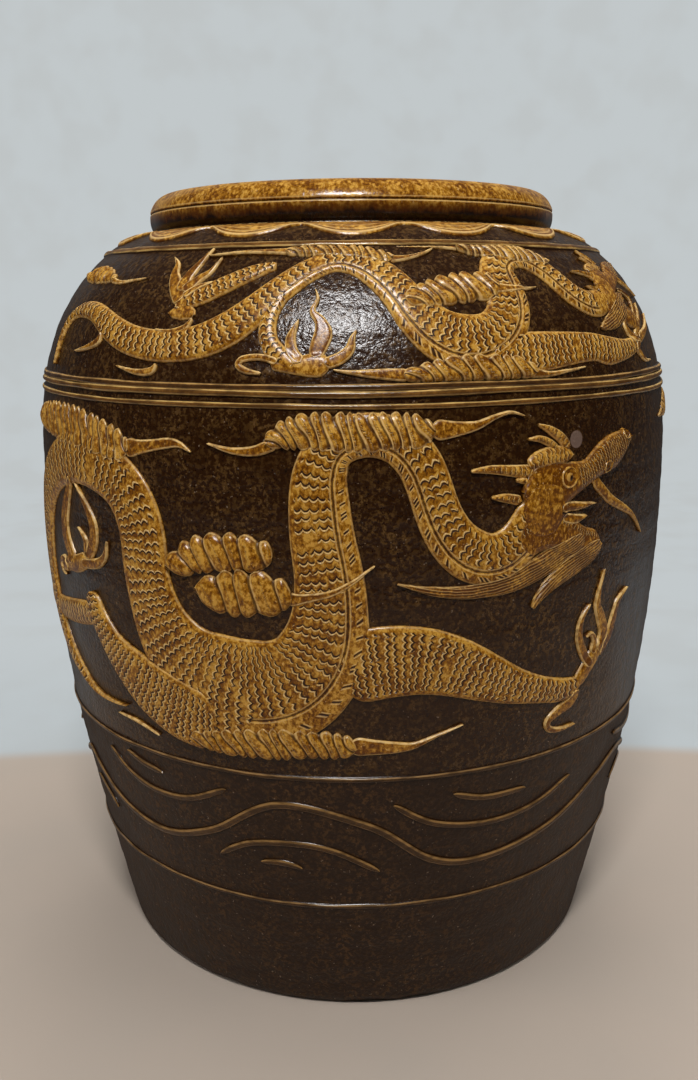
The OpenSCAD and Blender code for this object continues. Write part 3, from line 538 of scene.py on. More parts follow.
DARK, SPECK, PALE = srgb(39, 18, 2), srgb(92, 64, 28), srgb(156, 134, 112)
AMBER, GOLD, BROWN = srgb(150, 98, 20), srgb(200, 150, 62), srgb(96, 52, 6)
# The first dark is the colour of cut lines, also used as painted shade at the feet of sprigs and round the
# foot of an eye.
CUT_AND_SHADE, CREAM = srgb(40, 15, 3), srgb(226, 188, 122)


def peel(size, depth, seed=0.0):
    """Orange-peel unevenness of a fired glaze, in millimetres."""
    p = place(seed)
    return (noise(p, size, 2.0, 0.6) - 0.5) * depth * 2 + (noise(p, 26, 1.0) - 0.5) * depth * 3


# A bare round scar in the glaze beside the great dragon's horn
SCAR_AT = on_wall(np.array(35.2), np.array(489.5), np.array(0.0)) / MM
SCAR_R, SCAR = 6.9, srgb(118, 96, 84)


def ground(dark, speck, rough):
    """Dark oil-spotted glaze of the ground, with pinholes and faint downward runs."""
    run = (1, 1, 0.45)

    def paint():
        spots = patches(0.0, 3.6, 0.46, 0.6, 4.0, 0.68)
        patch = patches(31.0, 13, 0.38, 0.62, 3.0, 0.6, run)
        broad = patches(31.0, 75, 0.35, 0.65, scale=run)
        c = blend(dark, speck, spots * (0.3 + 0.55 * patch) * (0.6 + 0.4 * broad))
        c = blend(c, tuple(v * 0.5 for v in dark), patches(0.0, 2.6, 0.56, 0.72) * 0.7)
        pinhole = patches(77.0, 2.4, 0.735, 0.77, 1.0)
        c = blend(c, PALE, pinhole * 0.5)
        c = blend(c, SCAR, step(away_from(SCAR_AT) * MM, SCAR_R, SCAR_R - 0.7) * 0.85)
        height = peel(3.6, 0.26) + (spots - 0.5) * 0.02 - pinhole * 0.2
        return c, rough + 0.06 * spots + 0.05 * patch, height
    return paint


def amber_base(size, seed, deep=0.0):
    """Mottled amber glaze: gold breaking from brown in fine curdled spots."""
    run = place(seed, (1, 1, 0.8))
    fine = noise(run, size, 3.0, 0.6) - deep
    wide = noise(run, 16, 2.0, 0.5) - 0.5
    c = blend(BROWN, AMBER, step(fine + wide * 0.45, 0.33, 0.5))
    c = blend(c, GOLD, step(fine + wide * 0.4, 0.48, 0.62) * 0.9)
    return blend(c, CREAM, patches(seed + 9, 2.2, 0.65, 0.73) * 0.45)


def edged(c, edge, low=0.5, high=1.9, strength=0.55, pool_and_shadow=0.8):
    """A sprig's edge, where the glaze has run thin and pale, with the dark pool outside it, partly pooled
    glaze and partly painted shadow.
    """
    worn = 0.35 + 0.65 * patches(5.0, 5, 0.35, 0.6)
    thin = step(edge, low * 0.4, low) * step(edge, high, high * 0.6) * worn
    c = blend(c, CREAM, thin * strength)
    # Dark at the sprig's foot: pooled glaze together with painted shadow.
    return blend(c, CUT_AND_SHADE, step(edge, low * 0.7, 0.0) * pool_and_shadow)


def scale_marks(s, u, row, arc, deep, width, chain=3.5):
    """Rows of linked arcs, pressed with a stamp of a few arcs at a time: the cut line, the pale lip behind
    it, which is a painted highlight, and the shade that each row throws on the next, which is painted shade."""
    s = s + (noise(place(), 24, 1.0) - 0.5) * row * 0.7
    a = u / arc
    v = a - floor(a) - 0.5
    t = (s + deep * (1 - 4 * v * v)) / row
    near = floor(t + 0.5)
    stamp = a / chain + chance(near, 3.0) * 7
    group = floor(stamp)
    f = stamp - group
    shift = (chance(near, group, 1.0) - 0.5) * 0.28
    tilt = (chance(near, group, 2.0) - 0.5) * 0.3 * (f - 0.5)
    off = (t - near + shift + tilt) * row
    inside = step(f, 0.02, 0.08) * step(f, 0.99, 0.93)
    inside = inside * step(chance(near, group, 4.0), 0.02, 0.03)
    cut = step(size_of(off), width, width * 0.5) * inside
    # The lip: a painted highlight beside the cut.
    lip = step(size_of(off + width * 1.7), width, width * 0.35) * inside
    # Painted shade thrown by each row on the next.
    shade = step(off, 0.0, width) * step(off, row * 0.5, width) * inside
    return cut, lip, shade


HATCH, PAIR = 11.0, 2.8  # mm along the belly band to the next hatch, and between two of a pair


def belly_band(s, u, w, here):
    """The ruled line and the hatches of the belly band, as cuts and as pale lips beside them, which are
    painted highlights.
    """
    off_line = size_of(u - w * BELLY_LINE)
    ruled = step(off_line, 0.85, 0.35) * here
    # Pale line beside the ruled cut: a painted highlight.
    outer = step(size_of(off_line - 1.7), 0.8, 0.2) * here
    q = (s + u * 0.7 + (noise(place(3.0), 30, 1.0) - 0.5) * 9) / HATCH
    k = floor(q)
    aslant = (q - k - 0.5) * HATCH
    pair_off = least(size_of(aslant), size_of(aslant - PAIR) + step(chance(k, 5.0), 0.75, 0.7) * 9)
    mid = step(size_of(u + w * 0.76) / (w * 0.05 + 0.9), 1.15, 0.85)
    mid = mid * here * step(chance(k, 8.0), 0.08, 0.1)
    hatch = step(pair_off, 0.95, 0.45) * mid
    # Pale lip beside each hatch: a painted highlight.
    hatch_lip = step(size_of(pair_off - 1.5), 0.7, 0.25) * mid
    return most(ruled * 0.8, hatch), most(outer * 0.5, hatch_lip * 0.7)


def scaled(seed, row, arc, deep, width, band=None, dark=0.0, rim=0.4):
    """Amber sprig with scale marks; from band mm along, a body has a belly band with hatches."""
    def paint():
        s, u, w = parts("su")
        edge, plain_from, _ = parts("tone")
        c = amber_base(2.7, seed, dark)
        marks = scale_marks(s, u, row, arc, deep, width)
        border = least(most(w * 0.2, 0.8), 4.6)
        stamped = step(plain_from, 0.0, 3.0)
        if band is None:
            room = step(w - border * 0.9 - size_of(u), 0.0, 1.0)
        else:
            banded = step(s, band, band + BAND_FADE)
            foot = w * 0.4 * banded + (w - border * 1.2) * (1 - banded)
            room = step(u + foot, 0.0, 1.0) * step(w - border - u, 0.0, 1.0)
        room = room * step(w, 2.5, 5.0) * stamped
        cut, lip, shade = [m * room for m in marks]
        height = peel(4.2, 0.08, seed) - cut + lip * 0.35
        if band is not None:
            cuts, lips = belly_band(s, u, w, step(w, 9.0, 12.0) * stamped * banded)
            cut, lip = most(cut, cuts), most(lip, lips)
            height = height - cuts * 0.8
        # Painted shade thrown by each row of marks, and painted highlights on the lips of the marks and band
        # lines.
        c = blend(c, BROWN, shade * 0.42)
        c = blend(c, CREAM, lip * 0.88)
        c = edged(c, edge, strength=rim, pool_and_shadow=rim * 2)
        return blend(c, CUT_AND_SHADE, cut * 0.94), 0.26 + cut * 0.1, height
    return paint


def plain(seed, low=0.4, high=1.5, marks=None, strength=0.6, deep=0.0, pool_and_shadow=0.8, size=2.7):
    """Amber sprig without grooves, with small scale marks if their sizes are given."""
    def paint():
        s, u, w = parts("su")
        cut = lip = shade = 0.0
        if marks:
            room = step(w - 1.2 - size_of(u), 0.0, 1.0)
            cut, lip, shade = [m * room for m in scale_marks(s, u, *marks, 2.5)]
        # Painted shade behind each row of marks, and a painted highlight on their lips.
        c = blend(amber_base(size, seed, deep), BROWN, shade * 0.35)
        c = blend(c, CREAM, lip * 0.5)
        c = edged(c, parts("tone")[0], low, high, strength, pool_and_shadow)
        return blend(c, CUT_AND_SHADE, cut * 0.675), 0.27 + cut * 0.09, peel(4.0, 0.07, seed) - cut * 0.5
    return paint


def puffed():
    """Cloud: each lobe's groove dark on one side and pale on the other, the pale side a painted highlight,
    with painted shade where the lobe sinks low.
    """
    edge, groove, relief = parts("tone")
    seed = 79.0
    c = amber_base(3.0, seed, -0.02)
    lip = step(size_of(groove - 1.7), 1.0, 0.3) * (0.5 + 0.5 * patches(15.0, 6, 0.36, 0.55))
    cut = step(size_of(groove), 1.3, 0.3)
    # Painted shade where the lobe sinks low, and a painted highlight on one side of each groove.
    c = blend(c, BROWN, step(relief, 0.75, 0.4) * 0.4)
    c = blend(c, CREAM, lip * 0.7)
    c = edged(c, edge, 0.5, 1.8, 0.6)
    return blend(c, CUT_AND_SHADE, cut * 0.7), 0.24 + cut * 0.1, peel(4.4, 0.09, seed) - cut * 0.4


def socket(ball, ring):
    """An eye or nostril: a pupil in its ball, dark painted shade round its foot, with a pale ring outside.
    """
    def paint():
        far, turn, rad = parts("su")
        to = far / rad
        c = blend(amber_base(2.8, 91.0), ball, step(to, 0.95, 0.6))
        east, up = to * sin(turn), to * sin(turn + math.pi / 2)
        pupil = (east - 0.36) ** 2 + (up + 0.1) ** 2
        c = blend(c, CUT_AND_SHADE, step(pupil, 0.34, 0.12) * step(to, 0.9, 0.75))
        # Painted shade in the hollow round the ball's foot.
        c = blend(c, CUT_AND_SHADE, step(size_of(to - 1.08), 0.16, 0.06) * 0.9)
        c = blend(c, CREAM, step(size_of(to - 1.42), 0.16, 0.05) * ring * step(east + up, 1.0, -0.4))
        return c, 0.2, peel(3.0, 0.05, 91.0)
    return paint


def haired():
    """Beard: olive amber combed into strands 2.1 mm apart, each with a pale back."""
    u = parts("su")[1]
    seed = 67.0
    bend = (noise(place(seed), 22, 2.0) - 0.5) * 3
    strand = sin((u + bend) * (2 * math.pi / 2.1))
    c = amber_base(3.0, seed, 0.12)
    c = blend(c, CREAM, step(strand, 0.5, 0.95) * 0.42)
    c = blend(c, CUT_AND_SHADE, step(strand, -0.4, -0.9) * 0.4)
    return edged(c, parts("tone")[0], 0.2, 1.0, 0.5), 0.28, peel(4.0, 0.05, seed) + strand * 0.25


def cordon_paint(top, side, line, seed):
    """A cordon: pale where it stands proud, with dark glaze pooled along both sides and painted highlight
    lines along its flanks, the upper one stronger.
    """
    def paint():
        _, up, relief = parts("tone")
        worn = patches(seed, 6, 0.36, 0.6, 3.0, 0.62, (0.3, 0.3, 1))
        fleck = patches(seed, 3.0, 0.4, 0.6, 3.0, 0.6)
        c = blend(side, top, step(relief, 0.45, 0.9) * (0.25 + 0.75 * worn) * (0.55 + 0.45 * fleck))
        # Pale lines along the flanks are painted highlights, stronger on the upper flank.
        ruled = step(size_of(up - 0.62), 0.3, 0.1) + step(size_of(up + 0.7), 0.24, 0.08) * 0.7
        c = blend(c, line, ruled * (0.35 + 0.65 * worn))
        return blend(c, DARK, step(relief, 0.4, 0.1)), 0.2, peel(3.6, 0.1, seed)
    return paint


RIM_CUT = 18.0  # height of the cut line above the rim's foot
RIM_UNDER, RIM_BLACK, RIM_DRIP = srgb(34, 17, 7), srgb(20, 10, 5), srgb(66, 32, 8)


def rim_paint():
    """Rolled rim: amber over its top and face, running into dark glaze on its underside, with a broken
    painted highlight along its foot.
    """
    z = split(on_piece())[2] * MM - RIM_Z
    streak = noise(place(103.0, (1, 1, 0.12)), 3.0, 3.0, 0.6)
    drip = (noise(place(105.0, (1, 1, 0.1)), 13.0, 2.0, 0.5) - 0.5) * 9
    amber = blend(amber_base(3.0, 101.0), BROWN, step(streak, 0.46, 0.62) * 0.35)
    amber = blend(amber, RIM_DRIP, step(z + drip * 0.7 + streak * 5, 21.5, 14.0) * 0.9)
    cut = step(size_of(z - RIM_CUT), 0.8, 0.3)
    lip = step(size_of(z - RIM_CUT + 1.6 - streak), 0.8, 0.2)
    upper = step(size_of(z - RIM_CUT - 2), 0.7, 0.2) * 0.6
    amber = blend(amber, CREAM, most(lip, upper) * 0.55)
    amber = blend(amber, CUT_AND_SHADE, cut * 0.7)
    under = blend(RIM_UNDER, RIM_BLACK, step(streak, 0.4, 0.6))
    c = blend(under, amber, step(z + drip + (streak - 0.5) * 8, 7.0, 12.0))
    # Broken painted highlight along the foot of the rim's dark underside.
    c = blend(c, CREAM, step(size_of(z - 1.0), 1.0, 0.3) * step(streak, 0.46, 0.56) * 0.6)
    return c, 0.16, peel(4.0, 0.12, 107.0) - cut * 0.6


def lappet_paint():
    """Lappets: amber with a pale rolled edge and fine lines that follow it."""
    edge = parts("tone")[0]
    c = blend(amber_base(3.4, 109.0), BROWN, patches(109.0, 9, 0.42, 0.6, 3.0) * 0.6)
    c = blend(c, CREAM, step(edge, 0.4, 1.1) * step(edge, 2.6, 1.8) * 0.7)
    c = blend(c, BROWN, step(edge, 2.0, 2.8) * step(edge, 5.0, 3.6) * 0.75)
    c = blend(c, CREAM, step(size_of(edge - 5.6), 0.9, 0.3) * 0.4)
    c = blend(c, CREAM, step(size_of(edge - 10.5), 1.0, 0.4) * 0.3)
    return blend(c, CUT_AND_SHADE, step(edge, 0.35, 0.0) * 0.8), 0.22, peel(4.0, 0.12, 113.0)


# The relief, as in part.scad or redrawn within its outline
# Each point is azimuth in degrees, height in its register and half width, in mm
MAIN_BODY = [
    [-41, 37, 1], [-46, 35.5, 1.6], [-51, 38, 3], [-56, 48, 7], [-61, 65, 10], [-65, 90, 13],
    [-67.5, 120, 16], [-68, 150, 18.5], [-66, 185, 20], [-62.5, 210, 20.5], [-57, 229, 20.5],
    [-50, 238, 21], [-43.5, 236, 22], [-38, 225, 23], [-34.8, 205, 24], [-33.6, 183, 24],
    [-33.4, 160, 24], [-32.5, 137, 25], [-30.5, 112, 30], [-27, 90, 37], [-22, 76, 43],
    [-16, 70, 45], [-10.5, 76, 43], [-6.5, 92, 38], [-4.4, 114, 33], [-3.6, 140, 28],
    [-3.8, 167, 25.5], [-4.6, 192, 24], [-5, 216, 22.5], [-4.9, 240, 20], [-3, 260, 17],
    [1.5, 268, 16], [6, 263, 16.5], [9, 248, 17], [10.5, 230, 17], [11.9, 209, 17.5],
    [14, 190, 19], [17, 177, 20.5], [20.5, 173, 20], [24, 181, 19], [26.5, 196, 18.5],
    [27.8, 208, 19], [28.6, 217, 17],
]
MAIN_FORELEG = [
    [-3, 92, 25], [1, 96, 29], [5, 99, 29], [10, 98, 27], [15, 91, 24], [20, 80, 20], [25, 69, 15.5],
    [30, 61, 12], [35, 55, 10.5], [39, 55, 8],
]
MAIN_HINDLEG = [
    [-22, 40, 24], [-26, 43, 27], [-30, 49, 28], [-35, 61, 26], [-39.5, 75, 20], [-43, 90, 15],
    [-45.7, 107, 12.5], [-47, 121, 10.5], [-47.3, 130, 7],
]
MAIN_SHANK = [
    [-46, 112, 9], [-51, 107, 11], [-57, 102, 11], [-64, 98, 10], [-71, 98, 9], [-77, 103, 8],
    [-81, 112, 7],
]
# Paw first, then the claws
MAIN_FORE_CLAWS = [
    [[38.5, 55, 7], [40.5, 66, 8], [42.5, 78, 8], [43.5, 88, 5]],
    [[41.2, 70, 4], [39.2, 84, 4.5], [37.9, 98, 4], [38, 112, 3], [39.6, 124, 1]],
    [[41.5, 80, 3], [41.9, 90, 3], [40.9, 97, 2.2], [39.4, 96, 1]],
    [[43, 80, 5], [44.3, 94, 6], [43.2, 108, 5.5], [41.8, 121, 4], [42, 136, 2], [42.7, 150, 0.8]],
    [[43.5, 76, 4.5], [46, 90, 5], [47, 104, 4.5], [48, 118, 3], [50.6, 127, 1]],
    [[38.8, 52, 6], [37.8, 42, 6], [35, 36.5, 5], [32.9, 30, 3.5], [33.4, 22.5, 3], [36, 19, 2.2],
     [39.5, 20, 0.9]],
]
MAIN_HIND_CLAWS = [
    [[-57.5, 139, 4], [-55, 146, 7], [-51.5, 149, 8], [-48, 156, 7]],
    [[-52.5, 150, 6], [-55, 164, 8], [-55.6, 182, 7.5], [-53.8, 203, 6], [-51.2, 222, 2]],
    [[-47.5, 158, 5], [-45.6, 172, 6], [-45.4, 187, 5.5], [-47.2, 202, 3.4], [-50, 218, 0.9]],
    [[-48, 162, 4], [-47.9, 172, 3.2], [-49.8, 182, 0.9]],
    [[-49, 152, 4.5], [-45, 155, 4.5], [-42.6, 163, 3.2], [-41.4, 177, 0.9]],
    [[-55, 141, 4.5], [-57.3, 147, 4], [-59, 144, 3], [-58.5, 137, 2.2], [-56.5, 134.5, 1]],
]
MAIN_SKULL = [
    [24.8, 221, 14], [27.5, 221, 19], [30.8, 223, 19.5], [34, 226.5, 14.5], [37.3, 230.5, 10.5],
    [41, 239.5, 12.8], [44, 244, 13.8], [47, 250.5, 9], [48.4, 253.5, 5],
]
MAIN_CREST = [[25.8, 240, 5], [27.6, 243.5, 7.5], [30, 245.5, 8], [32.3, 246, 7], [33.9, 246, 4]]
MAIN_CHEEK = [[24.8, 207, 14], [27.6, 207, 19.5], [30.4, 206.5, 18], [32.6, 205, 10]]
MAIN_JAW = [
    [24.6, 182, 11], [26.5, 186, 14], [29.5, 190, 15], [33, 185.5, 14], [36, 177.5, 13],
    [38.6, 173.5, 12.5], [40.9, 172, 11],
]
MAIN_LIPS = [
    [[31.5, 207, 3.5], [34, 206.3, 4], [36.5, 205.5, 3], [39.3, 206, 0.8]],
    [[31.9, 199.5, 3.5], [34, 197, 4], [36, 196, 3.2], [37.4, 197.5, 1.2]],
]
MAIN_GAPE = [[31.4, 203.4, 0.8], [33.4, 202, 1.6], [35.6, 201, 2], [37, 200.6, 1]]
MAIN_HORNS = [
    [[31.8, 233, 6.5], [28.9, 233, 6.5], [26, 236, 5.5], [22.5, 238.3, 4.2], [19.5, 240, 3.2],
     [16.5, 239.6, 1.2]],
    [[28.5, 227, 4], [26, 229, 3.2], [23.6, 231, 1.2]],
    [[33.2, 251, 4.5], [32, 258.5, 4.2], [30, 265, 3.4], [27.5, 270.2, 1]],
    [[31, 251, 3.4], [29.5, 256.5, 3.2], [27.8, 259.6, 2.6], [25.7, 259.8, 1]],
    [[24.6, 215.5, 4], [22, 218.3, 3.4], [19.7, 219.5, 1.2]],
]
MAIN_BEARD = [
    [[36.5, 182, 4], [34.5, 176, 8], [31, 168, 10], [27, 160, 9.5], [23, 153, 7.5], [17, 150, 5.5],
     [12, 152, 4], [8.5, 156, 2], [5.8, 160, 0.8]],
    [[41.2, 172, 5], [39.6, 168.5, 9], [37.2, 164, 10], [34, 157, 9], [31, 149, 7], [28.8, 140, 4.8],
     [27.3, 131, 2]],
]
MAIN_WHISKER = [
    [39, 227, 4], [40, 220, 4.6], [41.5, 213.5, 4.6], [43.6, 205.5, 4.2], [47.3, 196.6, 3.4],
    [50, 190, 2.4], [52.2, 181, 1.5], [54.1, 169.8, 0.6],
]
# Eye, nostril and curled tip: azimuth, height, radius, rise
MAIN_EYES = [[32.9, 229.3, 5.2, 5.4], [41.6, 232.6, 3.2, 5], [46.8, 255.6, 2.6, 4.2]]
# Cloud banks: number of lobes, bank, trailing wisps
MAIN_CLOUDS = {
    "far": [(8, [[67, 265, 4], [70, 267, 9], [73, 268, 12], [77, 268, 13], [81, 266, 10], [84, 264, 5]], [
        [[68, 264, 4], [65.5, 262, 2.4], [63, 262, 0.8]],
        [[83, 264, 5], [87, 260, 3.5], [91, 259, 2], [95, 262, 0.8]],
    ])],
    "crest": [(15, [
        [-12.5, 262, 5], [-10, 267, 11], [-7, 270, 13.5], [-3, 270, 14.5], [1, 269, 14.5],
        [5, 270, 14], [9, 269.5, 12.5], [11.3, 270, 8],
    ], [
        [[-11, 262, 5], [-14, 256, 4], [-17.5, 255.5, 2.5], [-21.3, 260, 0.8]],
        [[10.8, 270, 9], [14, 270, 6], [17.5, 272, 3.5], [20.5, 277.5, 2], [23, 280, 1.4],
         [25.2, 277, 0.7]],
    ])],
    "arch": [(20, [
        [-72.5, 262, 5], [-69, 264, 10], [-63, 265, 14], [-56, 265, 16], [-50, 264, 16], [-45, 261, 15],
        [-41, 257, 14], [-37.8, 253, 12], [-35.8, 250, 7],
    ], [
        [[-36.6, 252, 10], [-34, 253.5, 6], [-31, 256, 4.5], [-28, 258.5, 4], [-26, 258, 2.5],
         [-24, 253, 0.8]],
        [[-74, 262, 6], [-78, 258, 4], [-82, 256, 2.5], [-86, 259, 0.8]],
    ])],
    "side": [
        (7, [[-29, 166, 7], [-26.5, 170, 12], [-23.5, 177, 15], [-20, 180, 16], [-16.5, 181, 15],
             [-13.3, 180, 13], [-11.7, 179, 8]], []),
        (5, [[-24, 152, 7], [-22, 150, 14], [-18.5, 150, 19], [-15, 151, 19], [-11.5, 150, 16],
             [-9, 149, 10]],
         [[[-10, 147, 6], [-7, 150, 3.5], [-3.5, 154, 2.5], [-0.5, 162, 1.8], [2.8, 174, 0.8]]]),
    ],
    "foot": [(14, [
        [-27, 26, 8], [-22, 26, 12], [-17, 28, 14], [-12, 30, 15], [-7, 31, 13], [-3, 30, 12], [0, 29, 8],
    ], [
        [[-1, 30, 9], [2, 29, 7], [6, 28, 5], [9, 29, 3], [12.5, 36, 1.6], [16.7, 43.5, 0.7]],
        [[-44, 27, 0.8], [-39, 25, 1.6], [-34, 19, 0.8]],
    ])],
}
SWELL = [
    [-63, 83], [-51, 55], [-38, 45], [-26, 62], [-13, 97], [2, 80], [13, 44], [23, 36], [38, 48],
    [52, 74], [62, 82], [78, 56], [90, 44], [104, 58], [117, 83],
]
RIPPLES = [
    [[-50, 108], [-45, 93], [-38, 85], [-30, 88], [-22, 105]],
    [[-44, 114], [-40, 108], [-35, 105]],
    [[6, 99], [13, 79], [23, 71], [33, 76], [41, 92]],
    [[16, 104], [22, 96], [30, 96]],
    [[-25, 40], [-19, 56], [-11, 61], [-4, 56], [4, 36]],
    [[-17, 40], [-13, 41], [-9.5, 37.5]],
    [[-62, 58], [-57, 47], [-54, 38]],
    [[56, 106], [64, 98], [74, 96], [84, 103]],
    [[62, 48], [68, 58], [76, 46]],
    [[88, 96], [97, 86], [107, 93]],
]
SHO_BODY = [
    [-61, 9, 1], [-61.2, 27, 2.5], [-60.7, 41, 4.5], [-58.5, 50.5, 6], [-54.5, 53.5, 7.5],
    [-50, 51.5, 8.5], [-46, 45, 10], [-41, 36, 11.5], [-36, 30, 12], [-30, 27.5, 12.5],
    [-24, 31, 13.5], [-19, 41, 14], [-15, 55, 12.5], [-11.5, 68, 11.5], [-7.5, 80, 10.5],
    [-3, 87, 11], [1.5, 84, 12.5], [5, 75, 14], [7.6, 63, 15], [9.7, 50, 17.5], [12, 39, 19.5],
    [15, 31, 21.5], [18.5, 29, 21.5], [22, 34, 19.5], [24.6, 45, 18.5], [25.6, 58, 18],
    [25.4, 71, 17], [25.8, 82, 14.5], [28.5, 89, 12], [32.5, 89, 11.5], [36.3, 80, 11.5],
    [39, 68, 12], [41.8, 59, 12], [45, 55, 12], [48, 57, 11], [50, 61, 10],
]
SHO_FORELEG = [
    [21, 21, 12], [26, 21.5, 15], [30, 22, 15], [37, 23.5, 12.5], [41.5, 23, 11.5], [45, 20, 12],
    [50.5, 20, 8.5], [54, 22, 7], [57, 26, 5],
]
SHO_HINDLEGS = [
    [[-13, 84, 4], [-16.5, 80, 7], [-20.5, 73, 8], [-24.5, 65, 8.5], [-28, 59, 7.5], [-29.5, 53, 4.5]],
    [[-8.4, 74, 5], [-11.4, 62, 6], [-12.9, 47, 6.5], [-12.6, 32, 7], [-10.5, 20, 7.5], [-8.5, 15, 5]],
]
SHO_HIND_CLAWS = [
    [[-30.5, 50, 3], [-28, 52, 7], [-25.5, 49, 3]],
    [[-29, 58, 5.5], [-30.8, 68, 6.5], [-32.6, 78, 4.5], [-33.2, 86, 2.4], [-34.8, 91, 0.8]],
    [[-29.5, 66, 5.5], [-29.5, 76, 5], [-28.4, 85, 3.5], [-26.6, 97, 0.9]],
    [[-29, 66, 5], [-27, 75, 4], [-25.2, 80, 2.6], [-23.8, 90, 0.8]],
    [[-28.5, 62, 3.5], [-26, 69.5, 2.8], [-23.5, 71.5, 1]],
    [[-32.5, 39, 0.8], [-29.5, 37.5, 2.4], [-26.8, 41, 2.6], [-25.8, 47, 1.6]],
    [[-11, 17, 2.6], [-13.5, 20.5, 2.6], [-16.2, 19.5, 2.6], [-17, 15, 2.6], [-15.6, 11, 2.4],
     [-13.3, 9.5, 1]],
    [[-12, 16, 4.5], [-9, 14.5, 5.5], [-7, 15, 8], [-5.3, 15.5, 9], [-3.4, 15.5, 7]],
    [[-7.6, 17, 4.5], [-8.9, 24, 4.5], [-9.3, 32, 4], [-8.9, 39, 2.6], [-8.2, 46, 0.6]],
    [[-5.6, 20, 5], [-5.1, 28, 6.5], [-4.5, 37, 6.8], [-5, 45, 4.4], [-6.2, 52, 2.4], [-5.5, 60, 1.4],
     [-6, 67, 0.5]],
    [[-4.2, 16, 4.5], [-2, 20, 4.6], [-0.6, 26, 3.8], [-0.2, 33, 2.4], [0.4, 39, 0.6]],
]
SHO_FORE_CLAWS = [
    [[56, 26, 5], [54, 33, 4], [53.5, 40, 2.5], [56, 47, 1]],
    [[57, 28, 5], [59.5, 36, 3.5], [62.5, 44, 2.5], [64.5, 55, 0.9]],
    [[58, 27, 5], [62, 31, 3.5], [65.5, 36, 2.4], [69, 46, 0.9]],
    [[55, 24, 5], [56.5, 17, 3.5], [58.5, 10, 2], [61.5, 9, 0.8]],
]
SHO_BEARD = [[57, 62, 5], [55, 54, 8], [52, 47, 9], [48.5, 41, 6.5], [44.5, 36.5, 1.5]]
SHO_CURL = [[57.5, 66, 2], [60.3, 63, 2.2], [61.8, 57, 2.2], [60.8, 50, 1.9], [59.4, 43, 1.7], [60, 36, 1]]
SHO_WHISKER = [[60, 80, 3], [63, 73, 3], [66, 68, 2.2], [69, 60, 0.8]]
SHO_FLAMES = [
    [[-52.5, 21, 0.8], [-48.5, 25, 2.4], [-45.8, 30, 3.2], [-45.4, 36, 1.2]],
    [[-39.3, 12, 0.8], [-35, 8.5, 2.4], [-32, 9.5, 3.2], [-31, 15, 1.2]],
]
SHO_CLOUDS = {
    "crest": [
        (11, [[-12, 93, 4], [-9, 94, 6], [-4, 94, 8], [1, 92.5, 8.5], [5, 89.5, 7], [7, 88, 4]], [
            [[-11, 94, 3.5], [-16, 94, 2.2], [-21, 93.5, 1.5], [-27, 91.5, 0.7]],
            [[6, 88, 4], [9, 88.5, 2.5], [12, 91, 1.6], [14.6, 95, 0.7]],
        ]),
        (12, [[19, 96, 3], [22, 95, 7], [27, 94, 10], [31, 92, 11], [35, 89.5, 8], [38, 85, 4]], [
            [[20, 96, 3], [16, 97, 2.2], [12, 97.5, 1.5], [8, 97.5, 0.7]],
        ]),
    ],
    "belly": [(8, [[8, 58, 5], [10.5, 61, 10], [14, 65, 13], [18, 67.5, 14], [21.8, 68.5, 13],
                   [24.4, 69, 8]],
               [[[22.5, 67, 6], [25, 65.5, 3.5], [28.5, 66, 2], [32, 67, 0.7]]])],
    "foot": [(10, [[7, 8, 4], [10, 9, 8], [15, 11.5, 10], [20, 11.5, 10], [25, 10.5, 9], [28, 7.5, 4]], [
        [[8, 8, 5], [4, 9, 4], [0, 10, 2], [-3, 12, 0.7]],
        [[26, 8, 5], [30, 5.5, 2.5], [34, 7, 1.5], [38, 9, 0.7]],
    ])],
    "small": [(7, [[-66, 80, 3], [-62.5, 81, 8], [-58.5, 81, 10], [-54.5, 80, 9], [-51, 78, 6],
                   [-49, 76, 3]],
               [[[-50, 76, 3], [-46.5, 74, 2], [-43, 75, 1.4], [-39, 76.5, 0.7]]])],
}
# Distance along each body at which its belly band comes into sight
MAIN_BAND, SHO_BAND = 600, 285


# Glazes of the jar
ground_glaze = glaze("ground_glaze", ground(DARK, SPECK, 0.17))
foot_glaze = glaze("foot_glaze", ground(srgb(36, 18, 3), srgb(82, 54, 24), 0.36))
scales_main = glaze("scales_main", scaled(11.0, 7.6, 6.2, 2.3, 0.85, MAIN_BAND))
scales_leg = glaze("scales_leg", scaled(23.0, 5.8, 5.4, 1.9, 0.8))
scales_sho = glaze("scales_sho", scaled(35.0, 6.6, 5.6, 2.1, 0.85, SHO_BAND))
scales_sho_leg = glaze("scales_sho_leg", scaled(47.0, 5.2, 4.8, 1.6, 0.7))
scales_snout = glaze("scales_snout", scaled(73.0, 2.8, 2.8, 0.9, 0.36, dark=0.11, rim=0.2))
scales_jaw = glaze("scales_jaw", scaled(75.0, 3.0, 3.0, 0.9, 0.38, dark=0.11, rim=0.2))
amber_plain = glaze("amber_plain", plain(59.0))
amber_cheek = glaze("amber_cheek", plain(58.0, strength=0.0, deep=0.07, pool_and_shadow=0.0))
amber_crest = glaze("amber_crest", plain(60.0, marks=(4.2, 4.2, 1.2, 0.5)))
amber_claw = glaze("amber_claw", plain(61.0, 0.2, 1.7, strength=0.9, deep=0.08, size=2.8))
amber_horn = glaze("amber_horn", plain(71.0, 0.2, 1.2, (4.4, 3.2, 0.8, 0.5), 0.8))
amber_hair = glaze("amber_hair", haired)
amber_cloud = glaze("amber_cloud", puffed)
eye_glaze = glaze("eye_glaze", socket(srgb(190, 142, 66), 0.4))
nostril_glaze = glaze("nostril_glaze", socket(srgb(92, 52, 12), 0.7))
cordon_gold = glaze("cordon_gold",
                    cordon_paint(srgb(120, 80, 32), srgb(64, 37, 12), srgb(206, 168, 100), 83.0))
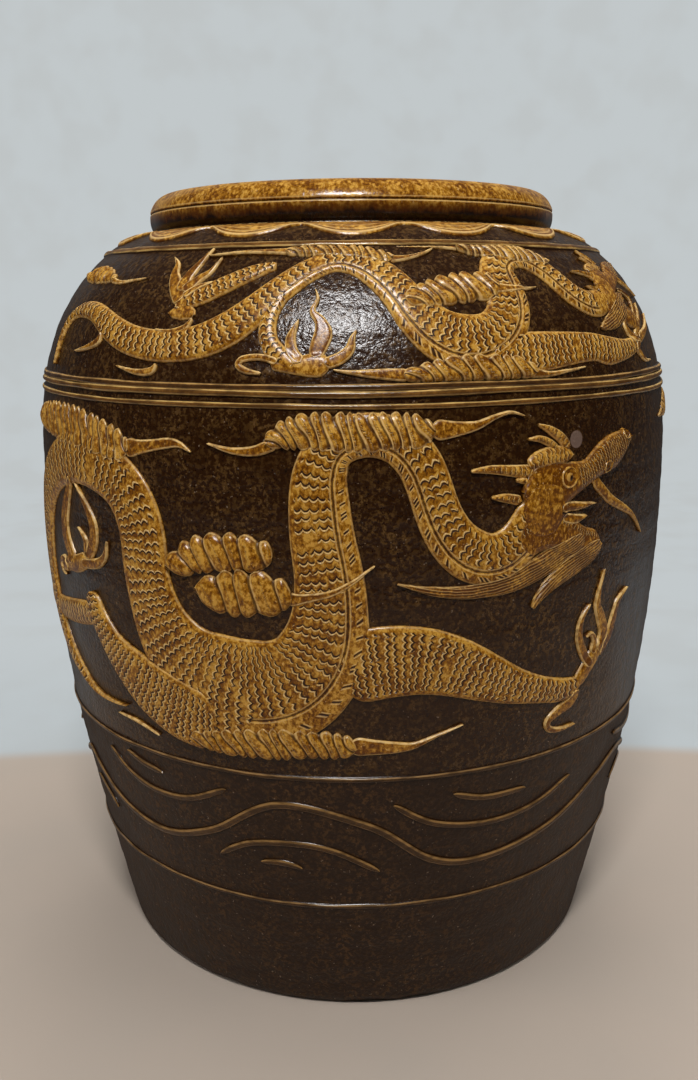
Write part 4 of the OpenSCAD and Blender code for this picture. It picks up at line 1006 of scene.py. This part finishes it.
cordon_dim = glaze("cordon_dim", cordon_paint(srgb(82, 52, 20), srgb(46, 25, 8), srgb(180, 140, 82), 85.0))
cordon_low = glaze("cordon_low", cordon_paint(srgb(84, 58, 30), srgb(46, 29, 14), srgb(146, 112, 70), 89.0))
wave_line = glaze("wave_line", cordon_paint(srgb(86, 59, 29), srgb(50, 32, 15), srgb(146, 110, 64), 97.0))
rim_glaze = glaze("rim_glaze", rim_paint)
lappet_glaze = glaze("lappet_glaze", lappet_paint)


# Thrown walls
AROUND = np.arange(0, 360, 1.0)
hand, hand_fine = wave(4), wave(9, 7, 3, 17)
SKIN_GAP, INNER_GAP = 4.0, 8.0  # height between the rows of the wall's outside and inside


def thrown(zs):
    """Outer skin at these heights, with the faint unevenness that throwing leaves."""
    a, z = np.meshgrid(AROUND, zs)
    ridges = 0.16 * np.sin(z / 5.3 + 0.5 * hand(a)) + 0.12 * np.sin(z / 2.1 + hand_fine(a))
    dents = 0.5 * hand(a + z * 0.35) + 0.25 * hand_fine(a - z * 0.8)
    calm = np.clip((BELLY_R - wall_r(z)) / 8, 0.15, 1)
    return on_wall(a, z, (ridges + dents * calm) * np.clip(z / 12, 0, 1) - 0.35)


def inner_wall(low, high):
    return [(float(wall_r(z) - WALL * stretch(z)), z) for z in np.arange(low, high, INNER_GAP)]


def worn_foot():
    """A turned ring round a shallow hollow, its outer edge worn and chipped."""
    ring_in = FOOT_R - FOOT_RING
    foot = turned([
        (0.5, FOOT_HOLLOW), (ring_in - 2, FOOT_HOLLOW), (ring_in, FOOT_HOLLOW - 1), (ring_in + 1.5, 0.4),
        (ring_in + 4, 0.0), (FOOT_R - 7, 0.0), (FOOT_R - 4.5, 0.2), (FOOT_R - 2.4, 1.0), (FOOT_R - 1.0, 2.6),
    ], AROUND)
    chips = np.random.default_rng(7)
    bite = np.zeros(len(AROUND))
    for k in range(26):
        where, wide, deep = chips.uniform(0, 360), chips.uniform(0.8, 3.5), chips.uniform(0.4, 2.0)
        off = (AROUND - where + 180) % 360 - 180
        bite = np.maximum(bite, deep * np.exp(-(off / wide) ** 2))
    a = np.radians(AROUND)
    for row, share in ((-1, 1.0), (-2, 0.9), (-3, 0.5)):
        foot[row] += (bite * share * np.stack([-np.sin(a), np.cos(a), np.full_like(a, 0.8)])).T
    return foot


def lower_wall():
    c = Clay()
    skin = thrown(np.arange(5.0, WAVE_HIGH_Z + 3, SKIN_GAP))
    c.sheet(np.concatenate([worn_foot(), skin]), foot_glaze, flip=True, ring=True)
    inner = inner_wall(BASE_T + 6, WAVE_HIGH_Z + 6)
    floor_line = [(0.5, BASE_T), (inner[0][0] - 8, BASE_T), (inner[0][0] - 2.5, BASE_T + 1.6)]
    c.sheet(turned(floor_line + inner, AROUND), foot_glaze, ring=True)
    c.piece("wall_lower_thrown", ["base_slab", "lower_wall"])


def upper_wall():
    c = Clay()
    turn = np.sin(np.linspace(np.radians(36.5), np.pi / 2, 26))
    zs = np.concatenate([np.arange(WAVE_HIGH_Z - 1, 600, SKIN_GAP),
                         BAND_HIGH_Z + (NECK_Z - BAND_HIGH_Z) * turn])
    shelf = [(r, float(shelf_z(r))) for r in np.linspace(NECK_R, SHELF_IN, 7)[1:]] + [(MOUTH_R + 1, RIM_Z)]
    c.sheet(np.concatenate([thrown(zs), turned(shelf, AROUND)]), ground_glaze, flip=True, ring=True)
    inner = inner_wall(WAVE_HIGH_Z - 2, 575)
    for z in np.linspace(590, 640, 12):
        g = float(stretch(z))
        r, z = float(wall_r(z)) - WALL / g, z + WALL * float(slope(z)) / g
        if r > MOUTH_R + 3 and z > inner[-1][1] + 2:
            inner.append((r, z))
    roof_z = RIM_Z - WALL - SHELF_RISE
    inner += [(MOUTH_R + 1.5, roof_z), (MOUTH_R, roof_z + 1.5), (MOUTH_R, RIM_Z)]
    c.sheet(turned(inner, AROUND), ground_glaze, ring=True)
    c.piece("wall_upper_thrown", ["belly_wall", "shoulder_wall"])


# Section of the rolled rim: up from the mouth, then down from its outer radius
RIM_INSIDE = [(0, -1), (0, 26), (1, 30), (4, 33)]
RIM_OUTSIDE = [
    (-14, 34), (-9, 32), (-4.5, 28), (-1.5, 23), (-0.3, 19.5), (-1.3, 18), (-0.1, 16.5), (0, 12),
    (-0.7, 7.5), (-2, 4.2), (-3, 2.4), (-2.6, 1), (-1, 0.1), (0.2, -1.4),
]


def rolled_rim():
    c = Clay()
    inside = [(MOUTH_R + r, RIM_Z + z) for r, z in RIM_INSIDE]
    line = smooth(inside + [(RIM_R + r, RIM_Z + z) for r, z in RIM_OUTSIDE], 5)
    line[:, 0] = np.clip(line[:, 0], MOUTH_R, RIM_R)
    line[:, 1] = np.minimum(line[:, 1], JAR_H)
    c.sheet(turned(line, AROUND), rim_glaze, flip=True, ring=True)
    c.piece("rim_rolled", ["mouth_rim"])


def cordon(key, slot, rad, seed, *rolls):
    """Clay rolls laid round the wall by hand: their height and fullness wander a little."""
    c = Clay()
    sway, full = wave(seed, 6, 1, 9), wave(seed + 1, 6, 5, 40)
    a, t = np.meshgrid(AROUND, np.linspace(-1.25, 1.25, 17))
    hump = np.clip(1 - np.abs(t) ** 2.2, 0, 1) ** 0.75
    for k, (z0, mat) in enumerate(rolls):
        z = z0 + 0.4 * rad * sway(a + 40 * k) + t * rad * (0.95 + 0.2 * full(a + 90))
        high = 0.9 * rad * (0.85 + 0.3 * full(a - 60 * k))
        lift = hump * high - 0.7 * (np.abs(t) > 0.99)
        tone = np.stack([(1.1 - np.abs(t)) * rad, t, hump], -1)
        c.sheet(on_wall(a, z, lift - 0.1), mat, None, tone, flip=True, ring=True)
        field.lay(a, z, lift)
    c.piece(f"cordon_{key}", [f"{key}_cordon"])


def lappets():
    """Scalloped collar: arcs between cusps, with a bead and a groove along their edge."""
    half_chord = LAPPET_CUSP * math.sin(math.pi / LAPPETS)
    rise = LAPPET_REACH - LAPPET_CUSP * math.cos(math.pi / LAPPETS)
    arc_r = (half_chord**2 + rise**2) / (2 * rise)
    mid = LAPPET_REACH - arc_r
    az = np.arange(0, 360, 0.5)
    off = np.radians((az + 180 / LAPPETS) % (360 / LAPPETS) - 180 / LAPPETS)
    reach = mid * np.cos(off) + np.sqrt(arc_r**2 - (mid * np.sin(off)) ** 2)
    reach = np.maximum(reach, LAPPET_CUSP - 0.5)
    start = SHELF_IN + 3.2
    r = start + np.sin(np.pi / 2 * np.linspace(0, 1, 26))[:, None] * (reach - start)[None]
    edge = (reach[None] - r) * np.cos(off)[None]
    roll = np.clip(1 - (1 - np.clip(edge / 1.6, 0, 1)) ** 2, 0, 1) ** 0.5
    bead = 0.5 * np.exp(-((edge - 1.6) / 1.1) ** 2) - 0.35 * np.exp(-((edge - 4.2) / 1.3) ** 2)
    kept = roll * np.clip((r - start) / 0.8, 0, 1)
    lift = (LAPPET_T * 0.86 + bead) * kept - 0.5 * (1 - kept)
    a = np.radians(az)[None]
    pts = np.stack([r * np.sin(a), -r * np.cos(a), shelf_z(r) + 0.2 + lift], -1)
    c = Clay()
    c.sheet(pts, lappet_glaze, None, np.stack([edge, np.full_like(edge, CLEAR), roll], -1), ring=True)
    c.piece("collar_lappets", ["lappet_collar"])


lower_wall()
upper_wall()
rolled_rim()
cordon("collar", "rim_glaze", CORDON_R, 21, (COLLAR_Z, cordon_gold))
cordon("band_high", "rim_glaze", DOUBLE_R, 31, (BAND_HIGH_Z, cordon_dim),
       (BAND_HIGH_Z - 1.6 * DOUBLE_R, cordon_gold))
cordon("band_low", "rim_glaze", CORDON_R, 41, (BAND_LOW_Z, cordon_gold))
cordon("wave_high", "low_glaze", CORDON_R, 51, (WAVE_HIGH_Z, cordon_low))
cordon("wave_low", "low_glaze", CORDON_R, 61, (WAVE_LOW_Z, cordon_low))
lappets()


# Waves, dragons and clouds
def waves(name, node, lines, half, thick, end):
    """Wave lines of one width, as one piece with their copy half a turn round the jar."""
    c = Clay()
    for line in lines:
        pts = [[a, h, half] for a, h in line]
        ribbon(c, pts, WAV, thick, wave_line, wave_shape, step=1.5, ends=(end, end))
    c.points += [p * np.array([-1, -1, 1]) for p in c.points]
    c.faces += [f + c.count for f in c.faces]
    for rows in (c.su, c.tone, c.glaze):
        rows *= 2
    c.piece(name, [node])


def pair(name, node, fill):
    """The same sprigs on both sides of the jar, half a turn apart."""
    c = Clay()
    fill(c)
    c.piece(f"{name}_a", [f"{node}_a"])
    c.piece(f"{name}_b", [f"{node}_b"], turn=-1)


def sprigs(reg, lines, thick, mat, shape, over=0.0, ends=(0.7, 0.7)):
    """Fill for pair(): sprigs of one kind."""
    return lambda c: [ribbon(c, p, reg, thick, mat, shape, over=over, ends=ends) for p in lines]


def all_of(*fills):
    """Fill for pair(): several fills, one after another."""
    return lambda c: [fill(c) for fill in fills]


def body(reg, line, thick, mat, band_from, step, even):
    rows = [BELLY_LINE + k * 0.024 for k in range(-4, 5)]
    return lambda c: ribbon(c, line, reg, thick, mat, body_shape(band_from), extra=rows, step=step,
                            ends=(0.3, 0.9), even=even)


def legs(reg, lines, thick, mat, over=0.0):
    return sprigs(reg, lines, thick, mat, plain_shape, over)


def claws(reg, thick, shapes, palms=()):
    """Claws grow over the palm that carries them."""
    return all_of(sprigs(reg, palms, thick * 1.1, amber_plain, plain_shape, 0, (0.9, 0.9)),
                  sprigs(reg, shapes, thick, amber_claw, claw_shape, 0.8, (0.8, 0.2)))


def horns(reg, at, thick):
    return sprigs(reg, [at(p) for p in MAIN_HORNS], thick, amber_horn, plain_shape, 0, (0.5, 0.4))


def skull(reg, at, size, over):
    """A head without its features: crest, jaw, skull and cheek."""
    blunt = (0.9, 0.9)
    return all_of(sprigs(reg, [at(MAIN_CREST)], 3.6 * size, amber_crest, plain_shape, 0, (0.4, 0.9)),
                  sprigs(reg, [at(MAIN_JAW)], 4.0 * size, scales_jaw, jaw_shape, 0.3, blunt),
                  sprigs(reg, [at(MAIN_SKULL)], 4.6 * size, scales_snout, skull_shape, over, blunt),
                  sprigs(reg, [at(MAIN_CHEEK)], 5.2 * size, amber_cheek, plain_shape, over, blunt))


def features(c):
    """The great dragon's mouth, lips, eye and nostrils."""
    all_of(sprigs(MAIN, [MAIN_GAPE], 1.2, ground_glaze, plain_shape, 0.5, (0.5, 0.5)),
           sprigs(MAIN, MAIN_LIPS[:1], 3.0, amber_claw, plain_shape, 0.7, (0.9, 0.5)),
           sprigs(MAIN, MAIN_LIPS[1:], 2.8, amber_claw, plain_shape, 0.7, (0.9, 0.5)))(c)
    for k, eye in enumerate(MAIN_EYES):
        boss(c, MAIN, *eye, nostril_glaze if k else eye_glaze)


def beard(reg, lines, thick, over):
    return sprigs(reg, lines, thick, amber_hair, hair_shape, over, (0.8, 0.3))


def whisker(reg, line, thick):
    return sprigs(reg, [line], thick, amber_plain, plain_shape, 0, (0.6, 0.3))


def clouds(reg, banks, thick, over):
    """Cloud banks over their trailing wisps."""
    def fill(c):
        for lobes, bank, tails in banks:
            sprigs(reg, tails, thick * 0.5, amber_claw, claw_shape, over * 0.5, (1.0, 0.3))(c)
            ribbon(c, bank, reg, thick, amber_cloud, cloud_shape(lobes), over=over, ends=(0.9, 0.9),
                   lobes=lobes, step=0.8)
    return fill


def as_drawn(p):
    return p


def smaller(full):
    """Moves a line of the great dragon's head to the shoulder dragon's, which repeats it."""
    return lambda p: [[49 + (a - 25) * 0.7, 60 + (h - 205) * 0.55, w * full] for a, h, w in p]


waves("waves_swell", "wave_swell", [SWELL], 3.8, 1.9, 0)
waves("waves_ripples", "wave_ripple", RIPPLES, 3.2, 1.8, 4)
for name, node, fill in (
    ("dragon_foreleg", "main_foreleg", legs(MAIN, [MAIN_FORELEG], 3.4, scales_leg)),
    ("dragon_fore_claws", "main_fore_claws", claws(MAIN, 2.8, MAIN_FORE_CLAWS[1:], MAIN_FORE_CLAWS[:1])),
    ("dragon_body", "main_body", body(MAIN, MAIN_BODY, 4.0, scales_main, MAIN_BAND, 1.3, 50)),
    ("dragon_hindleg", "main_hindleg", all_of(legs(MAIN, [MAIN_SHANK], 3.4, scales_leg),
                                              legs(MAIN, [MAIN_HINDLEG], 4.6, scales_leg, 1.8))),
    ("dragon_hind_claws", "main_hind_claws", claws(MAIN, 2.8, MAIN_HIND_CLAWS[1:], MAIN_HIND_CLAWS[:1])),
    ("dragon_horns", "main_horns", horns(MAIN, as_drawn, 3.0)),
    ("dragon_head", "main_head", all_of(skull(MAIN, as_drawn, 1.0, 0.4), features)),
    ("dragon_beard", "main_beard", all_of(beard(MAIN, MAIN_BEARD, 3.0, 0.7),
                                          whisker(MAIN, MAIN_WHISKER, 2.6))),
):
    pair(name, node, fill)
for key, thick, over in (("far", 2.2, 0), ("crest", 5.2, 1.6), ("arch", 2.6, 0.6), ("side", 5.2, 1.4),
                         ("foot", 5.2, 1.6)):
    pair(f"cloud_{key}_sprig", f"cloud_{key}", clouds(MAIN, MAIN_CLOUDS[key], thick, over))
for name, node, fill in (
    ("shoulder_foreleg", "sho_foreleg", legs(SHO, [SHO_FORELEG], 3.0, scales_sho_leg)),
    ("shoulder_hindlegs", "sho_hindlegs", legs(SHO, SHO_HINDLEGS, 3.0, scales_sho_leg)),
    ("shoulder_hind_claws", "sho_hind_claws", claws(SHO, 2.4, SHO_HIND_CLAWS[1:7] + SHO_HIND_CLAWS[8:],
                                                      SHO_HIND_CLAWS[:8:7])),
    ("shoulder_fore_claws", "sho_fore_claws", claws(SHO, 1.8, SHO_FORE_CLAWS)),
    ("shoulder_dragon_body", "sho_body", all_of(
        sprigs(SHO, SHO_FLAMES, 2.8, amber_claw, claw_shape, 0, (0.6, 0.6)),
        body(SHO, SHO_BODY, 3.4, scales_sho, SHO_BAND, 1.2, 20))),
    ("shoulder_head", "sho_head", all_of(
        horns(SHO, smaller(0.6), 2.2), skull(SHO, smaller(0.78), 0.6, 0.3),
        beard(SHO, [SHO_BEARD], 2.6, 0.3),
        sprigs(SHO, [SHO_CURL], 2.0, amber_hair, plain_shape, 0.3, (0.6, 0.3)),
        whisker(SHO, SHO_WHISKER, 2.0))),
):
    pair(name, node, fill)
for key, thick, over in (("small", 3.4, 0), ("crest", 4.4, 1.4), ("belly", 4.6, 1.4), ("foot", 4.6, 1.4)):
    pair(f"shoulder_cloud_{key}", f"sho_cloud_{key}",
         clouds(SHO, SHO_CLOUDS[key], thick, over))


# Studio, in metres
FLOOR_TONE, WALL_TONE, STAIN = srgb(190, 175, 161), srgb(194, 200, 202), srgb(168, 163, 154)
WALL_LIT = srgb(96, 98, 98)  # how much light the wall passes on
FLOOR_AT, FLOOR_R = (0, -3.7, 0), 4.0
SWEEP_R, SWEEP_H, CURVE = 3.2, 2.6, 0.9
UNDER = -0.4  # mm by which the floor lies below the foot


def studio_material():
    """Pale floor that turns into a paler wall away from the jar. The wall shows its own even
    colour to the camera and to reflections, and lights the jar only by what falls on it."""
    mat, surface = new_material("studio_pale")
    past, far = away_from(FLOOR_AT), step(away_from((0, 0, 0)), 1.3, 2.4)
    wall_from = most(step(past, FLOOR_R - 0.02, FLOOR_R + 0.02), far)
    mottled = step(noise(place(), 160, 2.0), 0.4, 0.7) * 0.12
    tone = blend(blend(FLOOR_TONE, WALL_TONE, wall_from), STAIN, mottled)
    floor_side = fed("BsdfDiffuse", blend(tone, WALL_LIT, far))
    wall_side = fed("Emission", tone)
    path = add_node("LightPath")
    camera, glossy, through = (Val(path.outputs[f"Is {ray} Ray"])
                               for ray in ("Camera", "Glossy", "Transmission"))
    behind = step(split(on_piece())[1], 2.0, 3.1)
    seen = most(most(camera, glossy * behind), through)
    share = seen * most(step(past, FLOOR_R, FLOOR_R + 0.6), far)
    put(surface, fed("MixShader", share, floor_side.outputs[0], wall_side.outputs[0]).outputs[0])
    return mat


def stage_floor():
    """A round floor whose edge curves up into a wall."""
    line = [(0.5, UNDER)] + [(r, UNDER) for r in np.linspace(200, MM * (SWEEP_R - CURVE), 8)]
    line += [(MM * (SWEEP_R - CURVE + CURVE * math.sin(t)), MM * CURVE * (1 - math.cos(t)) + UNDER)
             for t in np.linspace(0.1, math.pi / 2, 14)]
    line += [(MM * SWEEP_R, MM * SWEEP_H + UNDER)]
    c = Clay()
    c.sheet(turned(line, np.arange(0, 360, 4.0)), studio_material(), flip=True, ring=True)
    c.build("studio_floor")


def aimed(name, at, aim, size, watts, glossy=False, diffuse=True):
    """An area lamp; glossy and diffuse say what it lights."""
    data = bpy.data.lights.new(name, "AREA")
    data.shape, data.size, data.size_y = "RECTANGLE", *size
    data.energy = watts
    obj = add_object(name, data)
    obj.location = at
    obj.visible_glossy, obj.visible_diffuse = glossy, diffuse
    obj.rotation_euler = (Vector(aim) - Vector(at)).to_track_quat("-Z", "Y").to_euler()


stage_floor()
FRONT, MIDDLE = (0, -0.1, 0.5), (0, 0, 0.35)
aimed("key", (-0.05, -1.35, 1.92), FRONT, (0.34, 0.16), 23)
aimed("glint", (-0.13, -1.35, 1.94), FRONT, (0.72, 0.4), 50, True, False)
aimed("top_fill", (0.3, 0.5, 2.6), (0, 0, 0.3), (2.0, 2.0), 26)
aimed("left_fill", (-2.3, -0.9, 1.5), MIDDLE, (1.2, 1.2), 12)
aimed("right_fill", (2.3, -0.7, 1.5), MIDDLE, (1.2, 1.2), 8)
aimed("back_fill", (0.2, 2.4, 1.5), MIDDLE, (1.4, 1.2), 14)

world = bpy.data.worlds.new("studio_world")
bpy.context.scene.world = world
world.use_nodes = True
background = world.node_tree.nodes["Background"]
background.inputs[0].default_value = (0.78, 0.82, 0.84, 1)
Val.tree = world.node_tree
put(background.inputs[1], 0.43 - Val(add_node("LightPath").outputs["Is Glossy Ray"]) * 0.29)

# Camera at the photograph's viewpoint
CAM_AT = (-0.00435, -1.0062, 0.5934)
DOWN, ROLL, LENS = math.radians(13.196), math.radians(-0.433), 34.29
camera = bpy.data.cameras.new("photo_view")
camera.lens, camera.sensor_width, camera.sensor_fit = LENS, 36.0, "AUTO"
camera.clip_start = 0.02
cam = add_object("photo_view", camera)
cam.location = CAM_AT
ahead, right = Vector((0, math.cos(DOWN), -math.sin(DOWN))), Vector((1, 0, 0))
up = right.cross(ahead)
right_r = math.cos(ROLL) * right + math.sin(ROLL) * up
up_r = -math.sin(ROLL) * right + math.cos(ROLL) * up
cam.rotation_euler = Matrix((right_r, up_r, -ahead)).transposed().to_euler()
bpy.context.scene.camera = cam
bpy.context.scene.view_settings.view_transform = "Standard"

bpy.context.view_layer.update()
